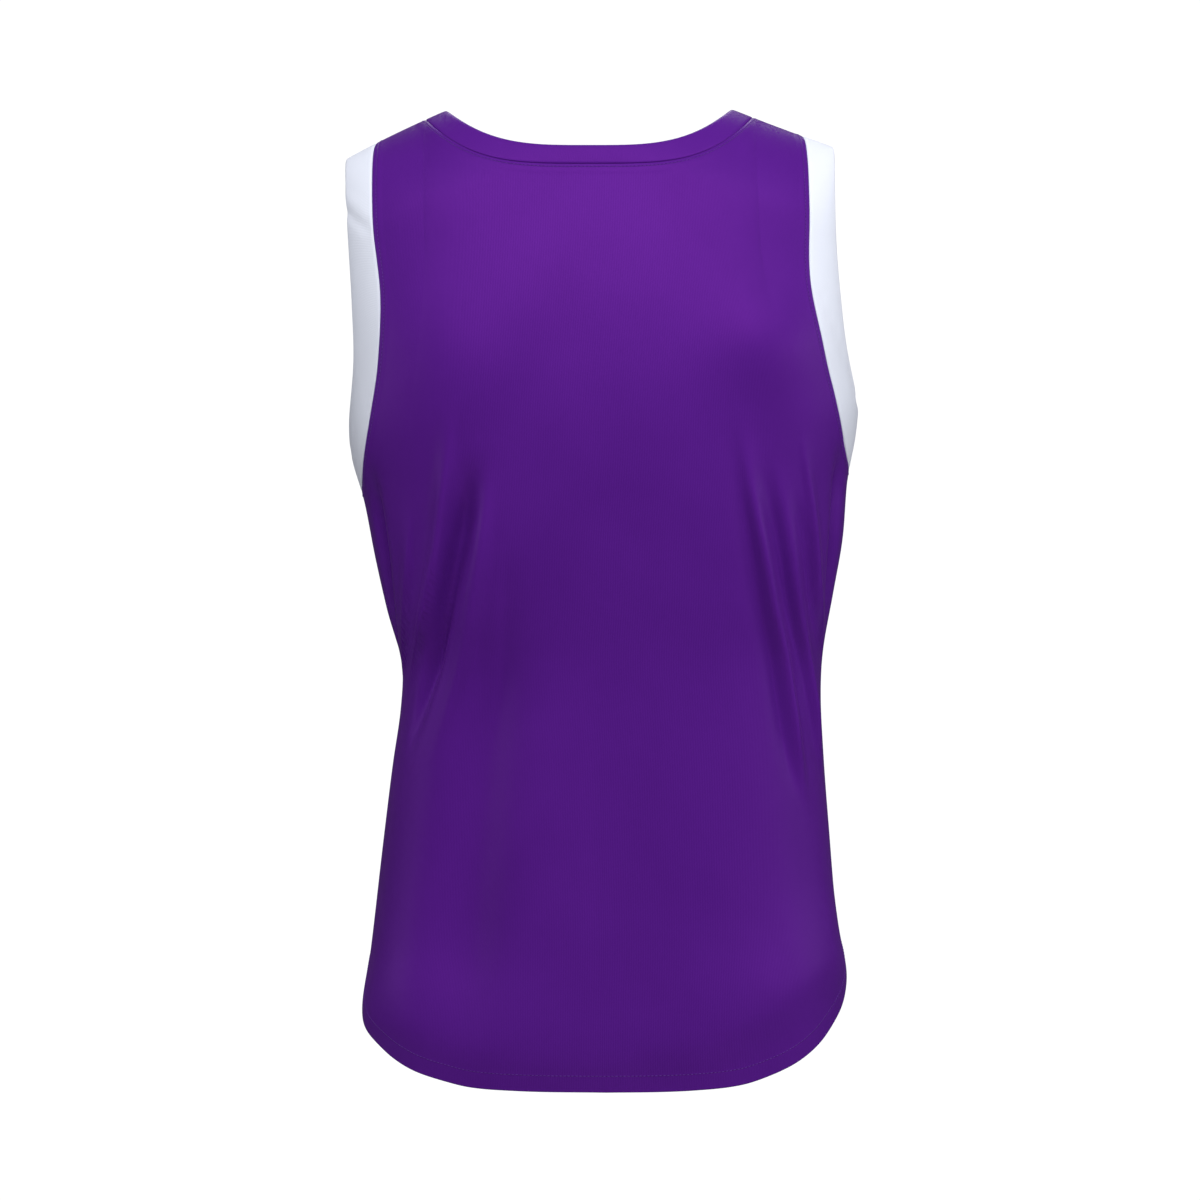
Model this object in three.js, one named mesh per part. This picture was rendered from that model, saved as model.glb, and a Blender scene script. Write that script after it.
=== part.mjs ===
// A sleeveless basketball jersey, filled out as if worn, with nobody in it.
// Millimetres, +Z up. The garment's front faces -Y, and the wearer's left is at +X.
// The origin lies midway between the two high shoulder points, at the level where the straps are held up.
//
// A place on the cloth has two coordinates. `round` is the angle round the body in degrees: 0 is the centre
// back, 90 the wearer's left side, 180 the centre front and -90 (or 270) the wearer's right side. `fall` is
// how far the cloth has run down from the crest of the shoulder, where it turns over from back to front.

import * as THREE from "three";

// Driving sizes.
const WALL = 2; // one layer of knit, drawn thick enough to be a solid wall
const BAND_WALL = 2.6; // the bands are folded double
const BAND_RAISED = 0.3; // how far a band stands out from the cloth beside it
const SEAM_GAP = 0.3; // clear space between two sewn pieces
const NECK_HALF = 110; // centre to the finished neck edge, on the shoulder
const NECKBAND = 16.5; // width of the neck band on the shoulder
const STRAP_END = 164; // centre to the seam of the armhole band, on the shoulder
const SHOULDER_TIP = 188; // centre to the finished armhole edge, on the shoulder
const CREST = 75; // height over which the shoulder rounds over into the back and the chest
const SHOULDER_SLOPE = 0.445; // drop of the shoulder seam for each millimetre outwards
const NAPE_ROUNDING = 45; // softens the top of the shoulder line between the two neck points
const BACK_NECK_DROP = 32.5; // high shoulder point to the back neck edge
const BACK_BAND_DROP = 15; // back neck edge to the seam of the neck band
const BACK_NECK_POWER = 3.4; // how square the back neck curve is: 2 is round
const BACK_BAND_POWER = 3.8;
const FRONT_NECK_DROP = 104;
const FRONT_BAND_DROP = 17.5;
const FRONT_NECK_POWER = 2.3;
const FRONT_BAND_POWER = 2.5;

// How many rows and columns of faces each piece has.
const SEAM_ROWS = 15; // up the side seam
const ARMHOLE_ROWS = 15; // up the armhole, front and back alike
const STRAP_COLUMNS = 5;
const BACK_NECK_COLUMNS = 14; // centre back to the strap
const FRONT_NECK_COLUMNS = 14; // centre front to the strap
const BAND_STRIPS = 3;
const NECKBAND_STRIPS = 2;
const LEAN_IN = 0.25; // share of a panel's height where its columns begin to lean in to the strap

const QUARTER = (CREST * Math.PI) / 2; // cloth run from the crest to where it hangs straight
const degrees = THREE.MathUtils.degToRad;

/** Turns a header and rows of numbers into objects with named columns. */
function table(columns, rows) {
  return rows.map((row) => Object.fromEntries(columns.map((name, i) => [name, row[i]])));
}

// Level cuts through the filled-out garment, from the shoulders down: half its width, how far it reaches
// behind and in front of the side seams, the power of its rounded-square outline, and how far the cut lies
// to the wearer's left of the neck.
const SECTIONS = table(
  ["z", "halfWidth", "back", "front", "power", "shift"],
  [
    [0, 205, 62, 62, 3.7, 0],
    [-40, 200, 74, 79, 3.3, -0.7],
    [-100, 196.6, 94, 105, 3.0, -2.3],
    [-150, 195.4, 107, 121, 3.0, -5.3],
    [-200, 195.2, 115, 128, 2.9, -8.6],
    [-240, 196.7, 118, 129.5, 2.82, -10.9],
    [-263, 193.8, 118.5, 129.5, 2.75, -11.5],
    [-290, 187.3, 118, 128.5, 2.7, -12.7],
    [-340, 180.2, 115.5, 125.5, 2.6, -15.4],
    [-380, 172.2, 112.5, 122, 2.55, -16.2],
    [-425, 162.4, 108.5, 118.5, 2.5, -18],
    [-455, 162, 107.5, 117.5, 2.5, -16.9],
    [-500, 166.1, 108.5, 117.5, 2.5, -14.8],
    [-560, 172, 111.5, 118.5, 2.5, -13.4],
    [-640, 180.3, 117, 120, 2.55, -12.1],
    [-678, 186.3, 119.5, 120.5, 2.6, -12.6],
    [-720, 187, 120.5, 119.5, 2.6, -13],
    [-760, 184, 118, 116.5, 2.6, -13],
  ],
);

// The finished lower edge, from the centre back round a side to the centre front.
const HEM = table(
  ["round", "z"],
  [
    [0, -749],
    [20, -748],
    [31.6, -745],
    [38, -740],
    [46, -732],
    [53, -722],
    [60.5, -709],
    [70, -694],
    [77, -680],
    [84, -664],
    [90, -657],
    [96, -663],
    [103, -678],
    [112, -694],
    [122, -709],
    [132, -721],
    [142, -730],
    [155, -737],
    [180, -740],
  ],
);

// Seam between the body and the armhole band, and the finished armhole edge, from the underarm up. The angle
// is measured from the centre back or the centre front. Each ends on the crest of the shoulder.
const BACK_SEAM = table(
  ["angle", "z"],
  [
    [90, -287],
    [82, -286.2],
    [73, -281.5],
    [64.5, -268],
    [57.6, -246],
    [53.6, -220],
    [50.3, -186],
    [48.2, -147],
    [48.9, -97],
    [48.3, -70],
  ],
);
const BACK_EDGE = table(
  ["angle", "z"],
  [
    [90, -254],
    [84, -252.5],
    [78, -245],
    [72.5, -228],
    [67.6, -208],
    [63.8, -186],
    [61.8, -147],
    [61.4, -108],
    [60.1, -70],
  ],
);
const FRONT_SEAM = table(
  ["angle", "z"],
  [
    [90, -287],
    [82, -286.2],
    [73, -281.5],
    [63, -267],
    [54.5, -246],
    [48.8, -220],
    [44.7, -186],
    [43, -147],
    [43.6, -110],
    [44.8, -70],
  ],
);
const FRONT_EDGE = table(
  ["angle", "z"],
  [
    [90, -254],
    [84, -252.5],
    [76, -244],
    [67, -228],
    [60, -208],
    [55.4, -186],
    [53.8, -147],
    [54.8, -108],
    [56.8, -70],
  ],
);

// The largest folds. Each runs down through a start, a middle and an end, given by the distance from the
// centre line towards the wearer's left and the height. Width is its half width along the cloth. Height is
// how far it stands out at the middle, or is hollowed where it is negative.
const FOLD_COLUMNS = ["x0", "z0", "x1", "z1", "x2", "z2", "width", "height"];
const BACK_FOLDS = table(FOLD_COLUMNS, [
  [122, -225, 137, -355, 160, -450, 14, 3.5],
  [92, -240, 122, -375, 150, -495, 17, -6],
  [88, -290, 110, -410, 140, -530, 15, 3.5],
  [72, -330, 100, -520, 128, -745, 20, -4.5],
  [170, -285, 166, -370, 158, -440, 14, -4],
  [-108, -225, -126, -355, -152, -490, 14, 4.5],
  [-92, -225, -104, -340, -124, -480, 15, -4],
  [-178, -265, -175, -345, -164, -430, 14, -4.5],
  [-165, -530, -117, -615, -70, -695, 24, 3],
  [-120, -60, -135, -130, -120, -230, 42, 5],
  [128, -60, 140, -120, 128, -200, 30, -2.5],
]);
const FRONT_FOLDS = table(FOLD_COLUMNS, [
  [112, -215, 126, -345, 156, -455, 14, 4],
  [84, -240, 110, -370, 148, -490, 17, -5.5],
  [66, -330, 92, -520, 118, -735, 20, -4],
  [170, -285, 165, -370, 158, -440, 14, -4],
  [-104, -220, -124, -360, -156, -500, 14, 4],
  [-84, -240, -104, -370, -142, -520, 16, -5],
  [-72, -340, -98, -540, -112, -735, 20, -3.5],
  [-170, -280, -166, -360, -158, -440, 14, -4],
  [-20, -420, 10, -580, 18, -742, 28, 3],
]);

// The wearer's left side hangs a little lower than the right: by how much, at the side, at each level.
const LEAN = table(
  ["z", "amount"],
  [
    [0, 4],
    [-60, 5.5],
    [-290, 8.5],
    [-760, 9.5],
  ],
);
const CLOTH_PER_DEGREE = 2.9; // rough length of cloth round the body for each degree
const FLAT_AT_SEAM = 14; // folds die out over this many degrees before a side seam

/** Reads a column at height z from a table whose rows run downwards, with a smooth curve through the rows. */
function level(rows, column, z) {
  return smooth(rows, "z", column, z, -1);
}

/** A cubic through the rows' values: `key` rises down the table where sign is 1, and falls where it is -1. */
function smooth(rows, key, column, at, sign = 1) {
  const last = rows.length - 1;
  const k = sign * at;
  if (k <= sign * rows[0][key]) return rows[0][column];
  if (k >= sign * rows[last][key]) return rows[last][column];
  let i = 0;
  while (k > sign * rows[i + 1][key]) i += 1;
  const slope = (a, b) => (rows[b][column] - rows[a][column]) / (sign * (rows[b][key] - rows[a][key]));
  const step = sign * (rows[i + 1][key] - rows[i][key]);
  const here = slope(i, i + 1);
  const before = i > 0 ? (slope(i - 1, i) + here) / 2 : here;
  const after = i + 1 < last ? (here + slope(i + 1, i + 2)) / 2 : here;
  const t = (k - sign * rows[i][key]) / step;
  const [t2, t3] = [t * t, t * t * t];
  return (
    (2 * t3 - 3 * t2 + 1) * rows[i][column] +
    (t3 - 2 * t2 + t) * step * before +
    (3 * t2 - 2 * t3) * rows[i + 1][column] +
    (t3 - t2) * step * after
  );
}

/** Height of the shoulder's crest above the high shoulder points, at a distance x from the centre. */
function ridge(x) {
  return SHOULDER_SLOPE * (Math.hypot(NECK_HALF, NAPE_ROUNDING) - Math.hypot(x, NAPE_ROUNDING));
}

/** How far below the crest the cloth lies after a run of `fall`, and the other way round. */
const dropOf = (fall) => (fall < QUARTER ? CREST * (1 - Math.cos(fall / CREST)) : CREST + fall - QUARTER);
const fallOf = (drop) => (drop < CREST ? CREST * Math.acos(1 - drop / CREST) : QUARTER + drop - CREST);

/** Where a ray at the angle `round` leaves a rounded square with half sides of 1: across and backwards. */
function outline(round, power) {
  const [across, back] = [Math.sin(degrees(round)), Math.cos(degrees(round))];
  const scale = (Math.abs(across) ** power + Math.abs(back) ** power) ** (-1 / power);
  return [across * scale, back * scale];
}

/** The angle whose ray leaves the section at height z at a distance x from its centre line. */
function angleOf(x, z) {
  const power = level(SECTIONS, "power", z);
  const share = Math.min(1, Math.abs(x) / level(SECTIONS, "halfWidth", z));
  const angle = THREE.MathUtils.radToDeg(Math.atan2(share, (1 - share ** power) ** (1 / power)));
  return Math.sign(x) * angle;
}

/** The height of the cloth at `round` after a run of `fall`: it sits `drop` below the crest above it. */
function heightAt(round, fall) {
  const drop = dropOf(fall);
  let z = -drop;
  for (let i = 0; i < 12; i += 1) {
    const [across] = outline(round, level(SECTIONS, "power", z));
    z = ridge(level(SECTIONS, "halfWidth", z) * across) - drop;
  }
  return z;
}

/** The run of cloth from the crest down to height z, at the angle `round`. */
function fallAt(round, z) {
  const [across] = outline(round, level(SECTIONS, "power", z));
  return fallOf(Math.max(0, ridge(level(SECTIONS, "halfWidth", z) * across) - z));
}

/** A point of the smooth form under the folds. A negative fall lies past the crest, on the other face. */
function form(round, fall) {
  if (fall < 0) return form(180 - round, -fall);
  const z = heightAt(round, fall);
  const [across, back] = outline(round, level(SECTIONS, "power", z));
  const reach = level(SECTIONS, back > 0 ? "back" : "front", z);
  const fullness = fall < QUARTER ? Math.sin(fall / CREST) : 1;
  return new THREE.Vector3(level(SECTIONS, "halfWidth", z) * across, reach * back * fullness, z);
}

/** The outward direction of the smooth form. */
function outward(round, fall) {
  const [turn, run] = [0.2, 0.5];
  const sideways = form(round + turn, fall).sub(form(round - turn, fall));
  const downwards = form(round, fall + run).sub(form(round, fall - run));
  return sideways.cross(downwards).normalize();
}

/** How far the folds of one face lift the cloth at an angle from that face's centre line. */
function lift(folds, angle, z) {
  let height = 0;
  for (const f of folds) {
    if (z > f.z0 || z < f.z2) continue;
    const upper = z > f.z1;
    const along = upper ? (f.z0 - z) / (f.z0 - f.z1) : (z - f.z2) / (f.z1 - f.z2);
    const xAt =
      (f.x0 * (z - f.z1) * (z - f.z2)) / ((f.z0 - f.z1) * (f.z0 - f.z2)) +
      (f.x1 * (z - f.z0) * (z - f.z2)) / ((f.z1 - f.z0) * (f.z1 - f.z2)) +
      (f.x2 * (z - f.z0) * (z - f.z1)) / ((f.z2 - f.z0) * (f.z2 - f.z1));
    const away = ((angle - angleOf(xAt, z)) * CLOTH_PER_DEGREE) / f.width;
    height += f.height * THREE.MathUtils.smoothstep(along, 0, 1) * Math.exp(-away * away);
  }
  return height * THREE.MathUtils.smoothstep(90 - Math.abs(angle), 0, FLAT_AT_SEAM);
}

/** A point on the cloth, `depth` below its outer surface, with its folds and the garment's lean. */
function cloth(round, fall, depth) {
  const base = form(round, fall);
  const turned = THREE.MathUtils.euclideanModulo(round + 90, 360) - 90;
  const folds = turned <= 90 ? lift(BACK_FOLDS, turned, base.z) : lift(FRONT_FOLDS, 180 - turned, base.z);
  const point = outward(round, fall).multiplyScalar(folds - depth).add(base);
  const lean = level(LEAN, "amount", base.z) * Math.sign(base.x) * (base.x / SHOULDER_TIP) ** 4;
  return point.add(new THREE.Vector3(level(SECTIONS, "shift", base.z), 0, -lean));
}

/** Places at equal steps of cloth along a path, where path(t) gives { round, fall } for t from 0 to 1. */
function evenly(path, count) {
  const fine = 40 * count;
  const places = Array.from({ length: fine + 1 }, (_, i) => path(i / fine));
  const points = places.map((p) => form(p.round, p.fall));
  const run = [0];
  for (let i = 1; i <= fine; i += 1) run.push(run[i - 1] + points[i].distanceTo(points[i - 1]));
  const total = run[fine];
  const steps = [];
  let i = 0;
  for (let k = 0; k <= count; k += 1) {
    const wanted = (total * k) / count;
    while (i < fine - 1 && run[i + 1] < wanted) i += 1;
    const t = (wanted - run[i]) / (run[i + 1] - run[i]);
    steps.push(mix(places[i], places[i + 1], t));
  }
  return { steps, total };
}

/** A place between two places on the cloth. */
function mix(a, b, t) {
  return {
    round: THREE.MathUtils.lerp(a.round, b.round, t),
    fall: THREE.MathUtils.lerp(a.fall, b.fall, t),
  };
}

/** A smooth path up the armhole through the rows of a table, ending on the crest at a distance endX. */
function armholePath(rows, endX) {
  const top = angleOf(endX, ridge(endX));
  const points = rows.map((r) => new THREE.Vector3(r.angle, fallAt(r.angle, r.z), 0));
  const curve = new THREE.CatmullRomCurve3([...points, new THREE.Vector3(top, 0, 0)]);
  return (t) => {
    const p = curve.getPoint(t);
    return { round: p.x, fall: Math.max(0, p.y) };
  };
}

/** A neck curve from the centre line to the crest. It starts level and turns up with the given power. */
function neckPath(half, middleZ, power) {
  const sideZ = ridge(half);
  return (t) => {
    const share = 1 - (1 - t) ** 2;
    const x = half * share;
    const z = sideZ + (middleZ - sideZ) * (1 - share ** power);
    return { round: angleOf(x, z), fall: fallOf(Math.max(0, ridge(x) - z)) };
  };
}

const BACK = {
  seam: BACK_SEAM,
  edge: BACK_EDGE,
  neckColumns: BACK_NECK_COLUMNS,
  neckEdge: neckPath(NECK_HALF, -BACK_NECK_DROP, BACK_NECK_POWER),
  neckSeam: neckPath(NECK_HALF + NECKBAND, -BACK_NECK_DROP - BACK_BAND_DROP, BACK_BAND_POWER),
  middle: 0,
};
const FRONT = {
  seam: FRONT_SEAM,
  edge: FRONT_EDGE,
  neckColumns: FRONT_NECK_COLUMNS,
  neckEdge: neckPath(NECK_HALF, -FRONT_NECK_DROP, FRONT_NECK_POWER),
  neckSeam: neckPath(NECK_HALF + NECKBAND, -FRONT_NECK_DROP - FRONT_BAND_DROP, FRONT_BAND_POWER),
  middle: 180,
};

/** Half of a body panel's boundary, as places: up its side and armhole, along the hem, and along its top. */
function panelEdges(face) {
  const columns = face.neckColumns + STRAP_COLUMNS;
  const chestZ = face.seam[0].z;
  const halfGap = THREE.MathUtils.radToDeg(SEAM_GAP / 2 / level(SECTIONS, "back", chestZ));
  const sideRound = 90 - halfGap;
  const [, strapBack] = outline(angleOf(STRAP_END, 0), level(SECTIONS, "power", 0));
  const crestFall = (CREST * SEAM_GAP) / 2 / (level(SECTIONS, "back", 0) * strapBack);
  const hemZ = (round) => smooth(HEM, "round", "z", Math.abs(face.middle - round));
  const clear = (p) => ({ round: Math.min(p.round, sideRound), fall: Math.max(p.fall, crestFall) });

  const seamUp = (t) => THREE.MathUtils.lerp(hemZ(sideRound), chestZ, t);
  const sideSeam = evenly((t) => ({ round: sideRound, fall: fallAt(sideRound, seamUp(t)) }), SEAM_ROWS);
  const armhole = evenly(armholePath(face.seam, STRAP_END), ARMHOLE_ROWS);
  const side = [...sideSeam.steps, ...armhole.steps.slice(1).map(clear)];
  const rise = side.map((_, k) => {
    const onSeam = (Math.min(k, SEAM_ROWS) / SEAM_ROWS) * sideSeam.total;
    const onArmhole = (Math.max(k - SEAM_ROWS, 0) / ARMHOLE_ROWS) * armhole.total;
    return (onSeam + onArmhole) / (sideSeam.total + armhole.total);
  });

  const girth = evenly((t) => ({ round: sideRound * t, fall: fallAt(90, chestZ) }), columns);
  const bottom = girth.steps.map((p) => ({ round: p.round, fall: fallAt(p.round, hemZ(p.round)) }));

  const top = evenly(face.neckSeam, face.neckColumns).steps.map(clear);
  for (let c = 1; c <= STRAP_COLUMNS; c += 1) {
    const x = THREE.MathUtils.lerp(NECK_HALF + NECKBAND, STRAP_END, c / STRAP_COLUMNS);
    top.push({ round: angleOf(x, ridge(x)), fall: crestFall });
  }
  return { side, rise, bottom, top, crestFall };
}

/** Half a row and its mirror image, from the wearer's right to the left. */
function bothWays(half) {
  const mirrored = half.slice(1).map((p) => ({ round: -p.round, fall: p.fall }));
  return [...mirrored.reverse(), ...half];
}

/**
 * Rows of places that fill a body panel. Each column keeps its share of the angle out to the side. The
 * rows bend with the armhole at the side and run more and more evenly towards the middle.
 */
function panelPlaces(face) {
  const { side, rise, bottom, top, crestFall } = panelEdges(face);
  const last = bottom.length - 1;
  return side.map((edge, k) => {
    const t = rise[k];
    const sideLift = edge.fall - THREE.MathUtils.lerp(bottom[last].fall, crestFall, t);
    const leaning = THREE.MathUtils.smoothstep(t, LEAN_IN, 1);
    const gentle = THREE.MathUtils.lerp(bottom[last].round, top[last].round, leaning);
    const half = bottom.map((low, c) => {
      const share = THREE.MathUtils.lerp(low.round / bottom[last].round, top[c].round / top[last].round, t);
      const pull = share * share;
      const neckDip = (top[c].fall - crestFall) * t * t;
      return {
        round: share * THREE.MathUtils.lerp(gentle, edge.round, pull),
        fall: THREE.MathUtils.lerp(low.fall, crestFall, t) + neckDip + sideLift * pull,
      };
    });
    return bothWays(half).map((p) => ({ round: face.middle + p.round, fall: p.fall }));
  });
}

/** A closed wall of cloth over rows of places. A ring has its last column joined to its first. */
function wall(rows, { thickness, raised = 0, ring = false }) {
  const [height, width] = [rows.length, rows[0].length];
  const layer = (depth) => rows.flat().map((p) => cloth(p.round, p.fall, depth));
  const points = [...layer(-raised), ...layer(thickness - raised)];
  const at = (inside, r, c) => inside * height * width + r * width + (c % width);
  const faces = [];
  const quad = (a, b, c, d) => faces.push(a, b, c, a, c, d);
  const columns = ring ? width : width - 1;
  for (let c = 0; c < columns; c += 1) {
    for (let r = 0; r + 1 < height; r += 1) {
      // Each half of a panel is split along the way its folds run: down and outwards.
      const outwards = c < columns / 2 ? [0, 1, 2, 3] : [1, 2, 3, 0];
      const outer = [at(0, r, c), at(0, r + 1, c), at(0, r + 1, c + 1), at(0, r, c + 1)];
      const inner = [at(1, r, c), at(1, r, c + 1), at(1, r + 1, c + 1), at(1, r + 1, c)];
      quad(...outwards.map((i) => outer[i]));
      quad(...outwards.map((i) => inner[i]));
    }
    quad(at(0, 0, c), at(0, 0, c + 1), at(1, 0, c + 1), at(1, 0, c));
    quad(at(0, height - 1, c), at(1, height - 1, c), at(1, height - 1, c + 1), at(0, height - 1, c + 1));
  }
  for (let r = 0; !ring && r + 1 < height; r += 1) {
    quad(at(0, r, 0), at(1, r, 0), at(1, r + 1, 0), at(0, r + 1, 0));
    quad(at(0, r, width - 1), at(0, r + 1, width - 1), at(1, r + 1, width - 1), at(1, r, width - 1));
  }
  const geometry = new THREE.BufferGeometry().setFromPoints(points);
  if (enclosed(points, faces) < 0) faces.reverse();
  geometry.setIndex(faces);
  geometry.computeVertexNormals();
  return geometry;
}

/** The volume inside a closed surface, negative where its faces point inwards. */
function enclosed(points, faces) {
  let volume = 0;
  const normal = new THREE.Vector3();
  for (let i = 0; i < faces.length; i += 3) {
    const [a, b, c] = [points[faces[i]], points[faces[i + 1]], points[faces[i + 2]]];
    volume += a.dot(normal.crossVectors(b, c)) / 6;
  }
  return volume;
}

/** The strips of a ring from the seam to its free edge, starting just clear of the piece it is sewn to. */
function ringPlaces(seam, edge, strips) {
  const width = seam.map((p, i) => form(p.round, p.fall).distanceTo(form(edge[i].round, edge[i].fall)));
  return Array.from({ length: strips + 1 }, (_, s) =>
    seam.map((p, i) => mix(p, edge[i], THREE.MathUtils.lerp(SEAM_GAP / width[i], 1, s / strips))),
  );
}

/**
 * A loop round an armhole: up the back from the underarm, over the crest and down the front. Places on the
 * front have a negative fall, at the angle that the back has there.
 */
function armholeLoop(backRows, frontRows, endX, sideSign) {
  const back = evenly(armholePath(backRows, endX), ARMHOLE_ROWS).steps;
  const front = evenly(armholePath(frontRows, endX), ARMHOLE_ROWS).steps;
  const behind = back.map((p) => ({ round: sideSign * p.round, fall: p.fall }));
  const before = front.slice(1, -1).map((p) => ({ round: sideSign * p.round, fall: -p.fall }));
  return [...behind, ...before.reverse()];
}

/** Rows of places for the band round one armhole, with the front's places given by its own angle. */
function armholeBand(sideSign) {
  const seam = armholeLoop(BACK.seam, FRONT.seam, STRAP_END, sideSign);
  const edge = armholeLoop(BACK.edge, FRONT.edge, SHOULDER_TIP, sideSign);
  const strips = ringPlaces(seam, edge, BAND_STRIPS);
  return strips.map((row) =>
    row.map((p) => (p.fall < 0 ? { round: 180 - p.round, fall: -p.fall } : p)),
  );
}

/** A loop round the neck along a back curve and a front curve, from the wearer's right shoulder. */
function neckLoop(backPath, frontPath) {
  const back = bothWays(evenly(backPath, BACK_NECK_COLUMNS).steps);
  const front = bothWays(evenly(frontPath, FRONT_NECK_COLUMNS).steps);
  const before = front.slice(1, -1).map((p) => ({ round: 180 + p.round, fall: p.fall }));
  return [...back, ...before];
}

/** A named sub-part of one cloth. */
function piece(name, geometry, material) {
  const mesh = new THREE.Mesh(geometry, material);
  mesh.name = name;
  return mesh;
}

const purpleKnit = new THREE.MeshStandardMaterial({ color: 0x541f88, roughness: 0.55, metalness: 0 });
const whiteKnit = new THREE.MeshStandardMaterial({ color: 0xe6e8f0, roughness: 0.6, metalness: 0 });

const jersey = new THREE.Group();
jersey.add(piece("back", wall(panelPlaces(BACK), { thickness: WALL }), purpleKnit));
jersey.add(piece("front", wall(panelPlaces(FRONT), { thickness: WALL }), purpleKnit));

const bandWall = { thickness: BAND_WALL, raised: BAND_RAISED, ring: true };
jersey.add(piece("armhole_band_left", wall(armholeBand(1), bandWall), whiteKnit));
jersey.add(piece("armhole_band_right", wall(armholeBand(-1), bandWall), whiteKnit));

const neckSeamLoop = neckLoop(BACK.neckSeam, FRONT.neckSeam);
const neckEdgeLoop = neckLoop(BACK.neckEdge, FRONT.neckEdge);
const neckPlaces = ringPlaces(neckSeamLoop, neckEdgeLoop, NECKBAND_STRIPS);
jersey.add(piece("neckband", wall(neckPlaces, bandWall), purpleKnit));

export default jersey;
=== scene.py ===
"""Basketball jersey, dressed for the camera.

A sleeveless jersey in purple knit with white armhole bands, filled out as if worn, with nobody in it. Its
five sewn pieces stand for the five nodes of the frame. Up to the moment a mesh is made, lengths are in
millimetres, angles in degrees, and a place on the cloth is given by two coordinates. `turn` is the angle
round the body: 0 at the centre back, 90 at the wearer's left side, 180 at the centre front. `fall` is how
far the cloth has run down from the crest of the shoulder, where it turns over from back to front. A
negative fall lies past the crest, on the other face.
"""

import logging
import math
from dataclasses import dataclass, field
from enum import Enum
from typing import Any, Callable

import bmesh
import bpy
import numpy as np
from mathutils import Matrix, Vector
from mathutils.kdtree import KDTree


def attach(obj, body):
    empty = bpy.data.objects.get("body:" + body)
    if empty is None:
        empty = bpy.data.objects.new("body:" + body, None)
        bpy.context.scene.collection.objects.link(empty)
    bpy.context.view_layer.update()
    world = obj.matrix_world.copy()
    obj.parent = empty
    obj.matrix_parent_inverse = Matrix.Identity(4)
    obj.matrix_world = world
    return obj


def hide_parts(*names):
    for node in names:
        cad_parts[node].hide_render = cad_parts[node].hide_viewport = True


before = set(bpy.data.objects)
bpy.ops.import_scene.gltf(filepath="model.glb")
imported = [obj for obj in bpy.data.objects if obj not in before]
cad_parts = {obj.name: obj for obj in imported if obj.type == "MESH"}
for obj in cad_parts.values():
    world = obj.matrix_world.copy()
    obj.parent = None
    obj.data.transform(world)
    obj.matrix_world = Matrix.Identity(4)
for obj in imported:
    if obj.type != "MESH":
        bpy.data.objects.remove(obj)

log = logging.getLogger("jersey")

MM = 0.001


class Side(Enum):
    """A side of a path on the cloth, as seen from outside the garment."""

    LEFT = 1
    RIGHT = -1


class Face(Enum):
    """A face of the garment, with the sign of Y there."""

    BACK = 1
    FRONT = -1


class Anchor(Enum):
    """What a distance across a band is measured from."""

    SEAM = "seam"
    EDGE = "edge"
    SHARE = "share"


# The form of the cloth. The tables and formulas are those of the frame's own source, in millimetres.

# Level cuts through the garment: height, half width, reach behind and in front of the side seams, power of
# the rounded-square outline, and how far the cut lies to the wearer's left of the neck.
SECTIONS = (
    (0, 205, 62, 62, 3.7, 0),
    (-40, 200, 74, 79, 3.3, -0.7),
    (-100, 196.6, 94, 105, 3.0, -2.3),
    (-150, 195.4, 107, 121, 3.0, -5.3),
    (-200, 195.2, 115, 128, 2.9, -8.6),
    (-240, 196.7, 118, 129.5, 2.82, -10.9),
    (-263, 193.8, 118.5, 129.5, 2.75, -11.5),
    (-290, 187.3, 118, 128.5, 2.7, -12.7),
    (-340, 180.2, 115.5, 125.5, 2.6, -15.4),
    (-380, 172.2, 112.5, 122, 2.55, -16.2),
    (-425, 162.4, 108.5, 118.5, 2.5, -18),
    (-455, 162, 107.5, 117.5, 2.5, -16.9),
    (-500, 166.1, 108.5, 117.5, 2.5, -14.8),
    (-560, 172, 111.5, 118.5, 2.5, -13.4),
    (-640, 180.3, 117, 120, 2.55, -12.1),
    (-678, 186.3, 119.5, 120.5, 2.6, -12.6),
    (-720, 187, 120.5, 119.5, 2.6, -13),
    (-760, 184, 118, 116.5, 2.6, -13),
)

# The finished lower edge: angle from the centre back, and height.
HEM = (
    (0, -749), (20, -748), (31.6, -745), (38, -740), (46, -732), (53, -722),
    (60.5, -709), (70, -694), (77, -680), (84, -664), (90, -657), (96, -663),
    (103, -678), (112, -694), (122, -709), (132, -721), (142, -730), (155, -737),
    (180, -740),
)

# Armhole seams and finished armhole edges, from the underarm up: angle from the face's centre, and height.
BACK_SEAM = (
    (90, -287), (82, -286.2), (73, -281.5), (64.5, -268), (57.6, -246), (53.6, -220),
    (50.3, -186), (48.2, -147), (48.9, -97), (48.3, -70),
)
BACK_EDGE = (
    (90, -254), (84, -252.5), (78, -245), (72.5, -228), (67.6, -208), (63.8, -186),
    (61.8, -147), (61.4, -108), (60.1, -70),
)
FRONT_SEAM = (
    (90, -287), (82, -286.2), (73, -281.5), (63, -267), (54.5, -246), (48.8, -220),
    (44.7, -186), (43, -147), (43.6, -110), (44.8, -70),
)
FRONT_EDGE = (
    (90, -254), (84, -252.5), (76, -244), (67, -228), (60, -208), (55.4, -186),
    (53.8, -147), (54.8, -108), (56.8, -70),
)

# The wearer's left side hangs a little lower than the right: height, and by how much.
LEAN = ((0, 4), (-60, 5.5), (-290, 8.5), (-760, 9.5))


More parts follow.
